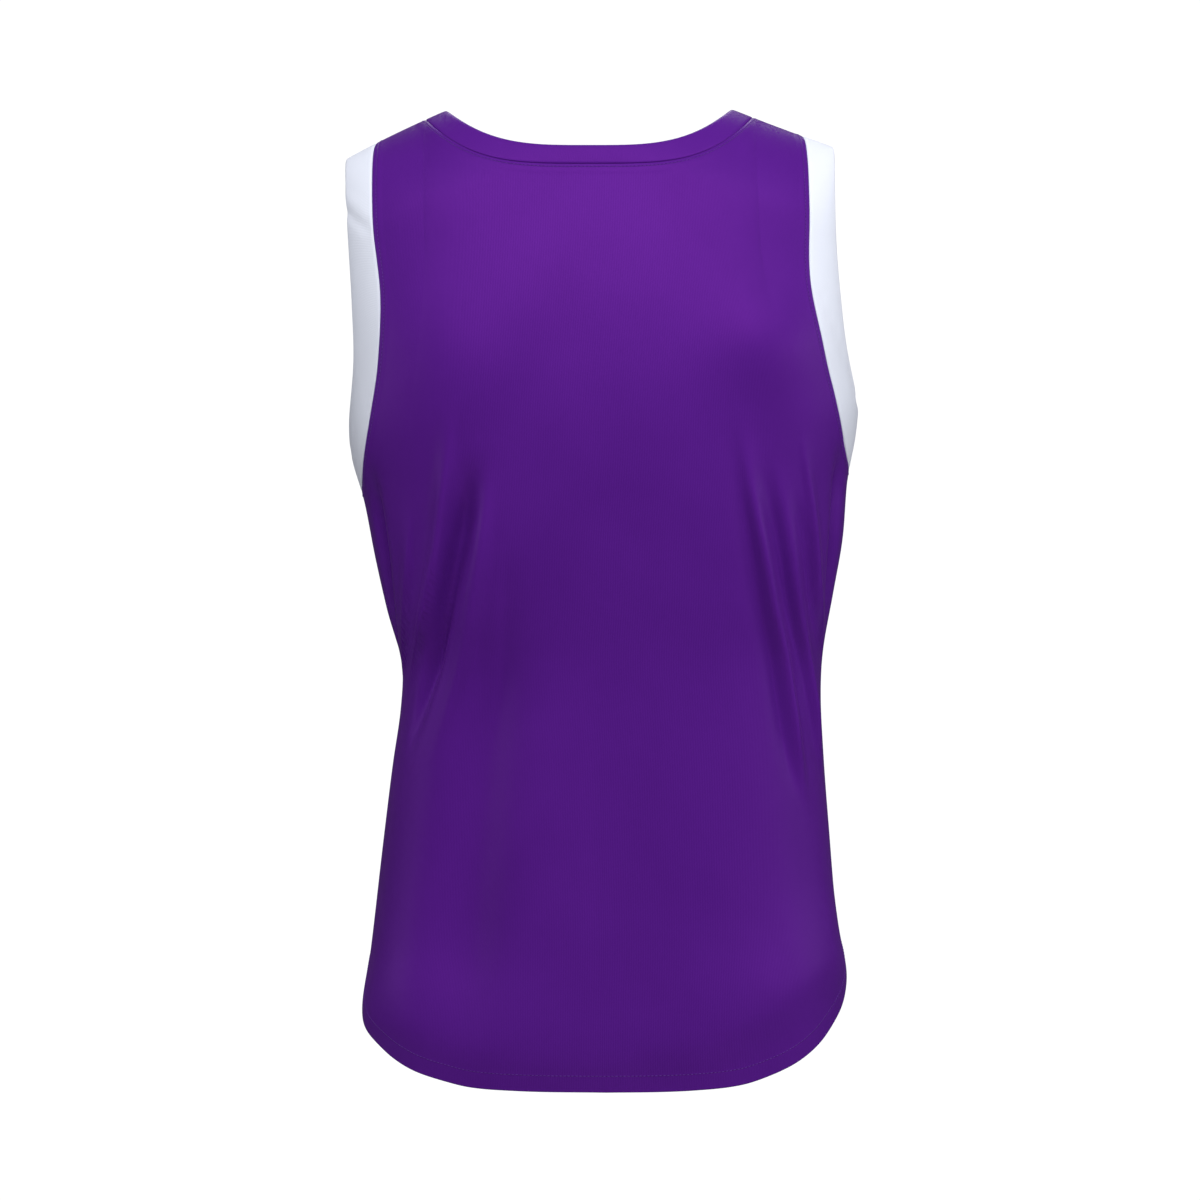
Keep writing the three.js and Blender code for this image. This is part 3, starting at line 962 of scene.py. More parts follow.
@dataclass(frozen=True)
class SpunThread:
    """Spun polyester sewing thread, two plies twisted together, a little duller than the knit."""

    name: str
    colour: str
    twist: float = 0.7

    def material(self) -> bpy.types.Material:
        """Builds the material.

        Returns:
            The material, without a user yet.
        """
        made = bpy.data.materials.new(self.name)
        made.use_nodes = True
        tree = made.node_tree
        tree.nodes.clear()
        place = add_node(tree, "ShaderNodeTexCoord").outputs["Object"]
        plies = add_node(
            tree,
            "ShaderNodeTexWave",
            {"Scale": 2 * math.pi / (20 * self.twist * MM), "Distortion": 0.5},
            {"Vector": place},
            bands_direction="DIAGONAL",
        )
        bump = add_node(
            tree, "ShaderNodeBump", {"Strength": 0.4, "Distance": 0.05 * MM}, {"Height": plies.outputs[1]}
        )
        # Darker bands along the twist of the plies are painted shade.
        shade = add_node(
            tree, "ShaderNodeMapRange", {"To Min": 0.0, "To Max": 0.35}, {"Value": plies.outputs[1]}
        )
        ply_shade_colour = tuple(c * 0.6 for c in linear(self.colour)[:3]) + (1.0,)
        colour = add_node(
            tree,
            "ShaderNodeMix",
            {6: linear(self.colour), 7: ply_shade_colour},
            {0: shade.outputs[0]},
            data_type="RGBA",
        )
        surface = add_node(
            tree,
            "ShaderNodeBsdfPrincipled",
            {"Roughness": 0.6, "Specular IOR Level": 0.25, "Sheen Weight": 0.15},
            {"Base Color": colour.outputs[2], "Normal": bump.outputs[0]},
        )
        add_node(tree, "ShaderNodeOutputMaterial", {}, {"Surface": surface.outputs[0]})
        return made


# The knits: the eye sees a smooth, dense colour, with a soft violet gloss on the purple filament yarn and
# hardly any on the white. The thread is a little lighter and duller than the cloth around it.
# Each knit's second colour is the deep one: soft random tone, and painted shade in the stitched dents.
PURPLE_KNIT = InterlockKnit("purple_interlock_knit", "#501b80", "#3b0f65", "#cc50ff", 0.37, 0.18, 0.04)
WHITE_KNIT = InterlockKnit("white_interlock_knit", "#dde1ee", "#cbd0de", "#ffffff", 0.6, 0.2, 0.0)
PURPLE_THREAD = SpunThread("purple_polyester_thread", "#5a2490")


# Cloth pieces.


@dataclass(frozen=True)
class SewnEdge:
    """How a panel's cloth lies beside a seam, in millimetres."""

    thickness: float = 0.55
    roll: float = 0.3  # how far the cloth rolls in at the seam
    roll_width: float = 0.5
    swell: float = 0.25  # how far the layers under it lift it
    swell_rises: tuple[float, float] = (0.5, 2.0)  # distances over which it is lifted
    swell_ends: tuple[float, float] = (6.5, 9.0)  # and over which it lies flat again
    ply_step: float = 0.65  # from one ply down to the next
    steps_out: tuple[float, ...] = (0.33, 0.55, 0.9, 1.4, 2.0, 2.8, 3.6, 4.4, 5.3, 6.3, 7.5, 9.0)
    steps_under: tuple[float, ...] = (0.8, 1.5, 3.0, 5.0, 7.0)

    def depth(self, distance: np.ndarray) -> np.ndarray:
        """Gives the depth of the middle of the cloth at a distance from the nearest seam.

        Args:
            distance: Distances in millimetres.

        Returns:
            Depths under the outer surface.
        """
        rolled = self.roll * np.exp(-((distance / self.roll_width) ** 2))
        swollen = smoothstep(*self.swell_rises, distance) * (1 - smoothstep(*self.swell_ends, distance))
        return self.thickness / 2 + rolled - self.swell * swollen


EDGE = SewnEdge()


def cloth_mesh(
    name: str, points: np.ndarray, uv: np.ndarray, runs: dict[str, np.ndarray], ring: bool
) -> bpy.types.Object:
    """Makes a sheet of cloth with its thickness.

    Args:
        name: Name of the piece.
        points: Middle of the cloth, as rows of points in millimetres, seen from outside with rows
            running down and columns running to the viewer's right.
        uv: Flat cloth coordinates in millimetres, with one more column than the points on a ring.
        runs: Distances from seams and edges, in millimetres, for the finish to read.
        ring: Whether the last column joins the first.

    Returns:
        The finished piece.
    """
    rows, columns = points.shape[:2]
    spans = columns if ring else columns - 1
    r, c = np.meshgrid(np.arange(rows - 1), np.arange(spans), indexing="ij")
    corners = np.stack(
        [
            r * columns + c,
            (r + 1) * columns + c,
            (r + 1) * columns + (c + 1) % columns,
            r * columns + (c + 1) % columns,
        ],
        axis=-1,
    ).reshape(-1, 4)
    mesh = bpy.data.meshes.new(name)
    mesh.from_pydata((points.reshape(-1, 3) * MM).tolist(), [], corners.tolist())
    flat = np.stack([uv[r, c], uv[r + 1, c], uv[r + 1, c + 1], uv[r, c + 1]], axis=2).reshape(-1, 2)
    layer = mesh.uv_layers.new(name="cloth")
    layer.data.foreach_set("uv", (flat * MM).ravel())
    for run_name, run in runs.items():
        attribute = mesh.attributes.new(run_name, "FLOAT", "POINT")
        attribute.data.foreach_set("value", run.ravel())
    piece = bpy.data.objects.new(name, mesh)
    bpy.context.scene.collection.objects.link(piece)
    bpy.ops.object.select_all(action="DESELECT")
    piece.select_set(True)
    bpy.context.view_layer.objects.active = piece
    wall = piece.modifiers.new("wall", "SOLIDIFY")
    wall.thickness = EDGE.thickness * MM
    wall.offset = 0
    bpy.ops.object.modifier_apply(modifier=wall.name)
    bpy.ops.object.shade_smooth_by_angle(angle=math.radians(70))
    return piece


def finish_piece(
    piece: bpy.types.Object, material: bpy.types.Material, node: str | None = None
) -> None:
    """Gives a piece its material and its place in the frame.

    Args:
        piece: The piece.
        material: Its finish.
        node: The node that it stands for, if it stands for one.
    """
    piece.data.materials.clear()
    piece.data.materials.append(material)
    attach(piece, "root")
    if node is not None:
        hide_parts(node)
    log.info("%s: %d faces", piece.name, len(piece.data.polygons))


def whole_rows(half: np.ndarray, sign: int = 1) -> np.ndarray:
    """Gives a panel's whole rows from the half that starts at its centre line.

    Args:
        half: Values of one half, with rows running down.
        sign: What the values of the other half are multiplied by.

    Returns:
        Values with nearly twice as many columns.
    """
    return np.concatenate([sign * half[:, :0:-1], half], axis=1)


@dataclass
class BodyPanel:
    """The back or front panel: one sheet of knit with its hem turned up and its seam edges turned under."""

    name: str
    cut: FaceCut
    flat: tuple[float, float]
    flat_area: float
    neck_share: float = 14 / 19  # share of the top edge, counted in columns, that the neck takes
    middle_columns: int = 115
    main_rows: int = 112
    crowding: float = 0.25  # how much closer the columns stand towards the side, where the folds are
    lean_in: float = 0.25
    top_steps: tuple[float, ...] = (
        *(0.33, 0.6, 1.0, 1.5, 2.0, 2.6, 3.2, 3.9, 4.7, 5.6, 6.6, 7.8, 9.2, 11, 13, 15.5, 18.5, 22, 26),
    )
    hem_steps: tuple[float, ...] = (
        *(20, 17.5, 15.5, 14.2, 13.3, 12.5, 11.7, 10.8, 9.2, 7, 4.8, 3, 1.8, 1.1, 0.6, 0.3),
    )
    turned_steps: tuple[float, ...] = (0.3, 0.6, 1.1, 3, 6, 9, 11, 12.2, 13.2, 13.8)
    hem_width: float = HEM_STITCH
    hem_swell: float = 0.2
    path_steps: int = 400  # steps along each part of its boundary
    strap_steps: int = 80
    near_end: float = 0.997  # a share close to 1, from which the cloth for one more share is measured
    side_turn: float = 89.99  # the side seam, just short of where back and front meet
    crest_fall: float = 0.05  # the shoulder seam, just short of the crest
    bottom_turn: np.ndarray = field(init=False)
    low_row: Places = field(init=False)
    side_line: Places = field(init=False)
    side_rise: np.ndarray = field(init=False)
    top_line: Places = field(init=False)
    top_share: np.ndarray = field(init=False)

    def __post_init__(self) -> None:
        """Prepares the panel's boundary."""
        chest = self.cut.seam_rows[0][1]
        fine = self.path_steps
        girth, _length = FORM.evenly(
            lambda at: Places(self.side_turn * at, np.full_like(at, FORM.fall_at(90, chest))), fine
        )
        self.bottom_turn = girth.turn
        low = self.hem(np.linspace(0, 1, fine + 1))
        hem = FORM.beside(low, self.hem_steps[0], Side.RIGHT)
        self.low_row = Places(hem.turn, hem.fall)
        side_low = float(FORM.height_at(np.array(self.side_turn), self.low_row.fall[-1]))
        side, side_length = FORM.evenly(
            lambda at: Places(
                np.full_like(at, self.side_turn),
                FORM.fall_at(np.full_like(at, self.side_turn), side_low + (chest - side_low) * at),
            ),
            fine,
        )
        armhole, armhole_length = FORM.evenly(self.cut.armhole_seam, fine)
        up = side.then(armhole.pick(slice(1, None)))
        self.side_line = Places(np.minimum(up.turn, self.side_turn), np.maximum(up.fall, self.crest_fall))
        share = np.linspace(0, 1, fine + 1)
        self.side_rise = np.concatenate([share * side_length, side_length + share[1:] * armhole_length])
        self.side_rise /= self.side_rise[-1]
        neck, _length = FORM.evenly(self.cut.neck_seam, fine)
        x = np.linspace(FORM.neck_half + self.cut.neckband, self.cut.strap_end, self.strap_steps + 1)[1:]
        strap = Places(FORM.angle_of(x, FORM.ridge(x)), np.zeros_like(x))
        top = neck.then(strap)
        self.top_line = Places(top.turn, np.maximum(top.fall, self.crest_fall))
        strap_share = np.linspace(0, 1, self.strap_steps + 1)[1:]
        strap_share = self.neck_share + (1 - self.neck_share) * strap_share
        self.top_share = np.concatenate([share * self.neck_share, strap_share])

    def hem(self, share: np.ndarray) -> Places:
        """Gives places on the finished lower edge, as if on the back, at shares of the way to the side.

        Args:
            share: Shares from the centre line out.

        Returns:
            One place for each.
        """
        turn = np.interp(share, np.linspace(0, 1, len(self.bottom_turn)), self.bottom_turn)
        round_body = np.abs(self.cut.middle - turn)
        return Places(turn, FORM.fall_at(turn, Curve.up(HEM, 1)(round_body)))

    def _places(self, share: np.ndarray, rise: np.ndarray) -> Places:
        """Gives places of the panel.

        Args:
            share: Share of the way out to the side.
            rise: Share of the way up to the shoulder.

        Returns:
            Places by the angle from this face's centre line.
        """
        even = np.linspace(0, 1, len(self.low_row.turn))
        low = Places(np.interp(share, even, self.low_row.turn), np.interp(share, even, self.low_row.fall))
        top = Places(
            np.interp(share, self.top_share, self.top_line.turn),
            np.interp(share, self.top_share, self.top_line.fall),
        )
        side = Places(
            np.interp(rise, self.side_rise, self.side_line.turn),
            np.interp(rise, self.side_rise, self.side_line.fall),
        )
        low_turn, low_fall, top_turn = self.low_row.turn[-1], self.low_row.fall[-1], self.top_line.turn[-1]
        leaning = smoothstep(self.lean_in, 1, rise)
        gentle = low_turn + (top_turn - low_turn) * leaning
        way = low.turn / low_turn + (top.turn / top_turn - low.turn / low_turn) * rise
        pull = way * way
        side_lift = side.fall - (low_fall + (self.crest_fall - low_fall) * rise)
        neck_dip = (top.fall - self.crest_fall) * rise * rise
        return Places(
            way * (gentle + (side.turn - gentle) * pull),
            low.fall + (self.crest_fall - low.fall) * rise + neck_dip + side_lift * pull,
        )

    def _base(self, places: Places) -> np.ndarray:
        """Gives points of the smooth form for places by the angle from this face's centre line."""
        return FORM.base(self.cut.placed(places))

    def _grid(self) -> tuple[Places, np.ndarray]:
        """Lays the rows and columns of the left half.

        Returns:
            Places with rows from the shoulder down and columns from the centre out, and how many
            plies down each of them lies.
        """
        middle = 1 - np.linspace(0, 1, self.main_rows + 1)
        probe = np.linspace(0, 1, 200)
        inside, end = np.full_like(probe, self.near_end), np.ones_like(probe)
        up = self._base(self._places(probe, end)) - self._base(self._places(probe, inside))
        up_rate = np.linalg.norm(up, axis=1) / (1 - self.near_end)
        out = self._base(self._places(end, probe)) - self._base(self._places(inside, probe))
        out_rate = np.linalg.norm(out, axis=1) / (1 - self.near_end)
        mean_up = float(np.median(up_rate))

        top = np.array(EDGE.steps_under[::-1] + self.top_steps)
        plies_top = np.array([1] * len(EDGE.steps_under) + [0] * len(self.top_steps))
        last = self.top_steps[-1]
        nominal = np.concatenate([1 - top / mean_up, middle[1:] * (1 - last / mean_up)])
        far = EDGE.steps_out[-1]

        rate = np.interp(nominal, probe, out_rate)[:, None]
        even = np.linspace(0, 1, self.middle_columns + 1)[None, :]
        inner = even * (1 + self.crowding * (1 - even)) * (1 - far / rate)
        outer = 1 - np.concatenate([EDGE.steps_out[-2::-1], EDGE.steps_under])[None, :] / rate
        share = np.concatenate([inner, outer], axis=1)
        single = np.zeros(self.middle_columns + len(EDGE.steps_out))
        plies = np.concatenate([single, np.ones(len(EDGE.steps_under))])

        rate_up = np.interp(share, probe, up_rate)
        rise = np.where(
            np.arange(len(nominal))[:, None] < len(top),
            1 - np.concatenate([top, np.zeros(self.main_rows)])[:, None] / rate_up,
            np.concatenate([np.zeros(len(top)), middle[1:]])[:, None] * (1 - last / rate_up),
        )
        places = self._places(share, rise)

        # The allowance's columns run back inwards, so the rows are taken from a path that does not.
        way = np.linspace(0, 1, 1201)
        low = self.hem(way)
        hem = np.array(self.hem_steps[1:] + (0.0,) + self.turned_steps) + EDGE.thickness / 2
        beside = [FORM.beside(low, step, Side.RIGHT) for step in hem]
        rows = [
            Places(np.interp(share[-1], way, row.turn), np.interp(share[-1], way, row.fall))
            for row in beside
        ]
        turn = np.concatenate([places.turn, np.stack([p.turn for p in rows])])
        fall = np.concatenate([places.fall, np.stack([p.fall for p in rows])])
        row_plies = np.concatenate([plies_top, np.zeros(self.main_rows)])
        turned = np.concatenate([np.zeros(len(self.hem_steps) - 1), [0.5], np.ones(len(self.turned_steps))])
        return Places(turn, fall), np.concatenate([row_plies, turned])[:, None] + plies[None, :]

    def _distances(self, points: np.ndarray, lines: list[np.ndarray]) -> np.ndarray:
        """Gives each point's distance from the nearest of some lines, up to 40 mm.

        Args:
            points: Points with rows and columns.
            lines: Points of each line.

        Returns:
            Distances with the same rows and columns.
        """
        nodes = np.concatenate(lines)
        tree = KDTree(len(nodes))
        for i, node in enumerate(nodes):
            tree.insert(node, i)
        tree.balance()
        flat = points.reshape(-1, 3)
        found = np.array([tree.find(p)[2] for p in flat])
        return np.minimum(found, 40).reshape(points.shape[:-1])

    def build(self) -> bpy.types.Object:
        """Builds the panel's mesh.

        Returns:
            The panel, with its wall and without a material.
        """
        half, plies = self._grid()
        base = self._base(half)
        fine = np.linspace(0, 1, 2400)
        neck = self._base(self.cut.neck_seam(fine))
        armhole = self._base(self.cut.armhole_seam(fine))
        hem_line = self._base(self.hem(fine))
        strap = self.top_line.turn[self.path_steps + 1 :]
        crest = self._base(Places(strap, np.zeros_like(strap)))
        side_fall = np.linspace(self.side_line.fall[self.path_steps], self.hem(np.ones(1)).fall[0], 1600)
        side = self._base(Places(np.full_like(side_fall, 90.0), side_fall))
        from_neck = self._distances(base, [neck])
        from_armhole = self._distances(base, [armhole])
        from_hem = self._distances(base, [hem_line])
        nearest = np.minimum(np.minimum(from_neck, from_armhole), self._distances(base, [crest, side]))
        swell = self.hem_swell * (1 - smoothstep(self.hem_width - 0.5, self.hem_width + 2, from_hem))
        depth = EDGE.depth(nearest) - swell + EDGE.ply_step * plies

        run_across = np.concatenate(
            [np.zeros((base.shape[0], 1)), np.cumsum(np.linalg.norm(np.diff(base, axis=1), axis=2), axis=1)],
            axis=1,
        )
        turn, fall = whole_rows(half.turn, -1), whole_rows(half.fall)
        places = Places(turn if self.cut is BACK else self.cut.middle - turn, fall)
        points = FORM.cloth(places, whole_rows(depth))[:, ::-1]
        uv = np.stack([whole_rows(run_across, -1), -fall], axis=-1)[:, ::-1]
        distances = {"from_neck": from_neck, "from_armhole": from_armhole, "from_hem": from_hem}
        runs = {name: whole_rows(run)[:, ::-1] for name, run in distances.items()}
        return cloth_mesh(f"{self.name}_panel", points, uv, runs, ring=False)


@dataclass(frozen=True)
class Crease:
    """A soft crease across an armhole band."""

    face: Face
    height: float  # where it starts, at the seam
    slope: float  # rise for each millimetre out to the edge
    half_width: float
    lift: float


LEFT_CREASES = (
    Crease(Face.BACK, -96, 0.75, 4.5, -0.9),
    Crease(Face.BACK, -84, 0.8, 6, 0.5),
    Crease(Face.BACK, -205, -1.6, 7, -0.6),
    Crease(Face.FRONT, -120, 0.9, 6, -0.7),
    Crease(Face.FRONT, -215, -1.2, 7, -0.6),
)
RIGHT_CREASES = (
    Crease(Face.BACK, -46, 0.6, 5, -0.6),
    Crease(Face.BACK, -136, -2.4, 8, -0.9),
    Crease(Face.BACK, -160, -2.2, 8, 0.5),
    Crease(Face.FRONT, -105, 0.8, 6, -0.7),
    Crease(Face.FRONT, -190, -1.6, 8, -0.6),
)


@dataclass
class FoldedBand:
    """A band of knit folded double, sewn as a closed ring round the neck or an armhole.

    The profile runs across the cloth: from the raw edge of its outer ply under the panel, out over the
    seam to the fold, and back as the inner ply. Each row is what a distance is measured from, the
    distance, and the depth of the middle of the cloth.
    """

    name: str
    seam: Places
    edge: Places
    flat: tuple[float, float]
    creases: tuple[Crease, ...] = ()
    turn_over: float = 8  # a crease dies out over this far to both sides of the crest
    crease_starts: float = 6  # how far out from the seam it has its full height
    profile: tuple[tuple[Anchor, float, float], ...] = (
        (Anchor.SEAM, -7.0, 1.75),
        (Anchor.SEAM, -4.0, 1.72),
        (Anchor.SEAM, -1.6, 1.7),
        (Anchor.SEAM, -0.6, 1.66),
        (Anchor.SEAM, 0.02, 1.45),
        (Anchor.SEAM, 0.24, 1.1),
        (Anchor.SEAM, 0.3, 0.78),
        (Anchor.SEAM, 0.42, 0.48),
        (Anchor.SEAM, 0.7, 0.2),
        (Anchor.SEAM, 1.2, 0.05),
        (Anchor.SEAM, 2.2, -0.02),
        (Anchor.SHARE, 0.22, -0.04),
        (Anchor.SHARE, 0.35, -0.05),
        (Anchor.SHARE, 0.5, -0.05),
        (Anchor.SHARE, 0.65, -0.05),
        (Anchor.SHARE, 0.78, -0.04),
        (Anchor.EDGE, 2.6, 0.0),
        (Anchor.EDGE, 1.5, 0.09),
        (Anchor.EDGE, 0.75, 0.28),
        (Anchor.EDGE, 0.28, 0.58),
        (Anchor.EDGE, 0.1, 0.95),
        (Anchor.EDGE, 0.26, 1.32),
        (Anchor.EDGE, 0.7, 1.62),
        (Anchor.EDGE, 1.5, 1.82),
        (Anchor.EDGE, 2.8, 1.92),
        (Anchor.SHARE, 0.7, 1.98),
        (Anchor.SHARE, 0.5, 2.0),
        (Anchor.SHARE, 0.3, 2.02),
        (Anchor.SEAM, 2.0, 2.1),
        (Anchor.SEAM, 0.0, 2.3),
        (Anchor.SEAM, -1.6, 2.36),
        (Anchor.SEAM, -4.0, 2.38),
        (Anchor.SEAM, -7.0, 2.4),
    )

    def build(self) -> bpy.types.Object:
        """Builds the band's mesh.

        Returns:
            The band, with its wall and without a material.
        """
        width = np.linalg.norm(FORM.base(self.seam) - FORM.base(self.edge), axis=1)
        shares, depths = [], []
        for anchor, amount, depth in self.profile:
            if anchor is Anchor.SEAM:
                share = amount / width
            elif anchor is Anchor.EDGE:
                share = 1 - (amount + EDGE.thickness / 2) / width
            else:
                share = np.full_like(width, amount)
            shares.append(share)
            depths.append(np.full_like(width, depth))
        share, depth = np.stack(shares), np.stack(depths)
        places = Places(self.seam.turn[None, :], self.seam.fall[None, :]).toward(
            Places(self.edge.turn[None, :], self.edge.fall[None, :]), share
        )
        base = FORM.base(places)
        depth = depth - self._creased(base, share * width[None, :])
        points = FORM.cloth(places, depth)
        around = np.linalg.norm(np.diff(points[:, list(range(points.shape[1])) + [0]], axis=1), axis=2)
        u = np.concatenate([[0], np.cumsum(around.mean(axis=0))])
        across = np.linalg.norm(np.diff(points, axis=0), axis=2).mean(axis=1)
        v = np.concatenate([[0], np.cumsum(across)])
        uv = np.stack(np.broadcast_arrays(u[None, :], v[:, None]), axis=-1)
        return cloth_mesh(self.name, points, uv, {}, ring=True)

    def _creased(self, base: np.ndarray, out: np.ndarray) -> np.ndarray:
        """Gives how far the creases lift the band.

        Args:
            base: Points of the smooth form.
            out: Distances out from the seam.

        Returns:
            Distances outwards.
        """
        lifted = np.zeros(out.shape)
        for crease in self.creases:
            same_face = smoothstep(-self.turn_over, self.turn_over, base[..., 1] * crease.face.value)
            off = (base[..., 2] - crease.height - crease.slope * out) / crease.half_width
            fade = smoothstep(0, self.crease_starts, out)
            lifted += crease.lift * same_face * fade * np.exp(-off * off)
        return lifted


@dataclass
class StitchRow:
    """A row of small real stitches that lie along a path on the cloth."""

    name: str
    path: Places
    depth: float  # of the thread's middle, under the outer surface
    closed: bool = False
    pitch: float = 3.0
    length: float = 2.5
    radius: float = 0.2
    reach: float = 0.6  # how far to both sides the path's direction is read

    def build(self, stitch: bpy.types.Object) -> bpy.types.Object:
        """Copies the stitch along the path into one mesh.

        Args:
            stitch: One stitch along X, 1 long and with a radius of 1, with Z out of the cloth.

        Returns:
            The finished row.
        """
        points = FORM.cloth(self.path, np.full_like(self.path.turn, self.depth))
        out = FORM.outward(self.path)
        if self.closed:
            points, out = np.vstack([points, points[:1]]), np.vstack([out, out[:1]])
        run = np.concatenate([[0], np.cumsum(np.linalg.norm(np.diff(points, axis=0), axis=1))])
        count = max(1, int(run[-1] / self.pitch))
        at = (np.arange(count) + 0.5) * run[-1] / count

        def along(values: np.ndarray, where: np.ndarray) -> np.ndarray:
            """Reads values along the path."""
            return np.stack([np.interp(where, run, values[:, k]) for k in range(3)], axis=1)

        centre, normal = along(points, at), along(out, at)
        ahead, behind = np.minimum(at + self.reach, run[-1]), np.maximum(at - self.reach, 0)
        forward = along(points, ahead) - along(points, behind)
        forward /= np.linalg.norm(forward, axis=1, keepdims=True)
        normal -= forward * (normal * forward).sum(1, keepdims=True)
        normal /= np.linalg.norm(normal, axis=1, keepdims=True)
        sideways = np.cross(normal, forward)
        shape = np.empty(len(stitch.data.vertices) * 3)
        stitch.data.vertices.foreach_get("co", shape)
        x, y, z = shape.reshape(-1, 3).T
        placed = (
            centre[:, None]
            + forward[:, None] * (x * self.length)[None, :, None]
            + sideways[:, None] * (y * self.radius)[None, :, None]
            + normal[:, None] * (z * self.radius)[None, :, None]
        )
        faces = [list(p.vertices) for p in stitch.data.polygons]
        step = len(stitch.data.vertices)
        mesh = bpy.data.meshes.new(self.name)
        mesh.from_pydata(
            (placed.reshape(-1, 3) * MM).tolist(),
            [],
            [[v + i * step for v in face] for i in range(count) for face in faces],
        )
        row = bpy.data.objects.new(self.name, mesh)
        bpy.context.scene.collection.objects.link(row)
        mesh.shade_smooth()
        return row


@dataclass(frozen=True)
class OneStitch:
    """One stitch: a short length of thread, bowed so that both its ends dive into the cloth."""

    rings: int = 6
    fullest: float = 1.25  # how much the ball is filled out away from its middle
    crown: float = 0.5  # how high its middle stands, in radii
    dive: float = 1.8  # how far its ends dip below that

    def build(self) -> bpy.types.Object:
        """Models the stitch from a ball, 1 long and with a radius of 1.

        Returns:
            The stitch, still to be copied.
        """
        bpy.ops.object.select_all(action="DESELECT")
        bpy.ops.mesh.primitive_uv_sphere_add(
            segments=6, ring_count=self.rings, radius=1.0, rotation=(0, math.pi / 2, 0)
        )
        stitch = bpy.context.object
        stitch.name = "one_stitch"
        bpy.ops.object.transform_apply(location=True, rotation=True, scale=True)
        bpy.ops.object.mode_set(mode="EDIT")
        bpy.ops.mesh.select_mode(type="VERT")
        for ring in range(self.rings + 1):
            self._shape_ring(stitch, math.cos(math.pi * ring / self.rings))
        bpy.ops.mesh.select_all(action="SELECT")
        bpy.ops.transform.resize(value=(0.5, 1, 1), center_override=(0, 0, 0))
        bpy.ops.object.mode_set(mode="OBJECT")
        return stitch

    def _shape_ring(self, stitch: bpy.types.Object, x: float) -> None:
        """Fills out the ring of vertices at a distance along the ball, and moves it onto the bow.

        Args:
            stitch: The ball, in edit mode.
            x: Where the ring lies, from -1 to 1.
        """
        shape = bmesh.from_edit_mesh(stitch.data)
        for vertex in shape.verts:
            vertex.select = abs(vertex.co.x - x) < 0.01
        shape.select_flush_mode()
        bmesh.update_edit_mesh(stitch.data)
        across = math.sqrt(max(0.0, 1 - x * x))
        if across > 0.01:
            fuller = min(1.0, self.fullest * across) / across
            bpy.ops.transform.resize(value=(1, fuller, fuller), center_override=(0, 0, 0))
        bpy.ops.transform.translate(value=(0, 0, self.crown - self.dive * x * x))


@dataclass
class Jersey:
    """The whole garment: two panels, three bands, and the rows of stitches."""

    ring_steps: int = 110
    neck_steps: int = 80
    seam_thread: float = -0.32  # depth of the thread under the outer surface, beside a seam
    hem_thread: float = -0.14  # and on the hem
    hem_shift: float = 0.28  # from the lower edge in the middle of the cloth to its outer side

    def build(self) -> list[bpy.types.Object]:
        """Builds and dresses every piece.

        Returns:
            The pieces.
        """
        purple, white, thread = PURPLE_KNIT.material(), WHITE_KNIT.material(), PURPLE_THREAD.material()
        stitch = OneStitch().build()
        made: list[bpy.types.Object] = []

        seam = armhole_loop(BACK.armhole_seam, FRONT.armhole_seam, self.ring_steps)
        edge = armhole_loop(BACK.armhole_edge, FRONT.armhole_edge, self.ring_steps)
        neck_seam = neck_loop(BACK.neck_seam, FRONT.neck_seam, self.neck_steps)
        neck_edge = neck_loop(BACK.neck_edge, FRONT.neck_edge, self.neck_steps)

        rows: dict[str, list[bpy.types.Object]] = {"back": [], "front": []}
        neck_line = FORM.beside(neck_seam, NECK_STITCH, Side.LEFT, closed=True)
        arm_line = FORM.beside(seam, ARMHOLE_STITCH, Side.RIGHT, closed=True)
        for row in (
            StitchRow("neck_topstitch", neck_line, self.seam_thread, closed=True),
            StitchRow("left_armhole_topstitch", arm_line, self.seam_thread, closed=True),
            StitchRow("right_armhole_topstitch", arm_line.mirrored(), self.seam_thread, closed=True),
        ):
            piece = row.build(stitch)
            finish_piece(piece, thread)
            rows["back"].append(piece)

        panels = (
            BodyPanel("back", BACK, (0.54, 0.82), 0.335),
            BodyPanel("front", FRONT, (0.54, 0.81), 0.311),
        )
        for panel in panels:
            half = panel.hem(np.linspace(0, 1, 301))
            line = FORM.beside(half, panel.hem_width + self.hem_shift, Side.RIGHT)
            whole = line.pick(slice(None, 0, -1)).mirrored().then(line)
            whole = Places(panel.cut.middle + whole.turn, whole.fall)
            piece = StitchRow(f"{panel.name}_hem_stitch", whole, self.hem_thread).build(stitch)
            finish_piece(piece, thread)
            rows[panel.name].append(piece)
            cloth = panel.build()
            finish_piece(cloth, purple, panel.name)
            made += [cloth, *rows[panel.name]]

        bands = (
            (FoldedBand("armhole_band_left_cloth", seam, edge, (0.63, 0.085), LEFT_CREASES), white),
            (
                FoldedBand(
                    "armhole_band_right_cloth", seam.mirrored(), edge.mirrored(), (0.63, 0.085), RIGHT_CREASES
                ),
                white,
            ),
            (FoldedBand("neckband_cloth", neck_seam, neck_edge, (0.775, 0.053)), purple),
        )
        for band, material in bands:
            cloth = band.build()
            finish_piece(cloth, material, band.name.removesuffix("_cloth"))
            made.append(cloth)
        bpy.data.objects.remove(stitch)
        return made


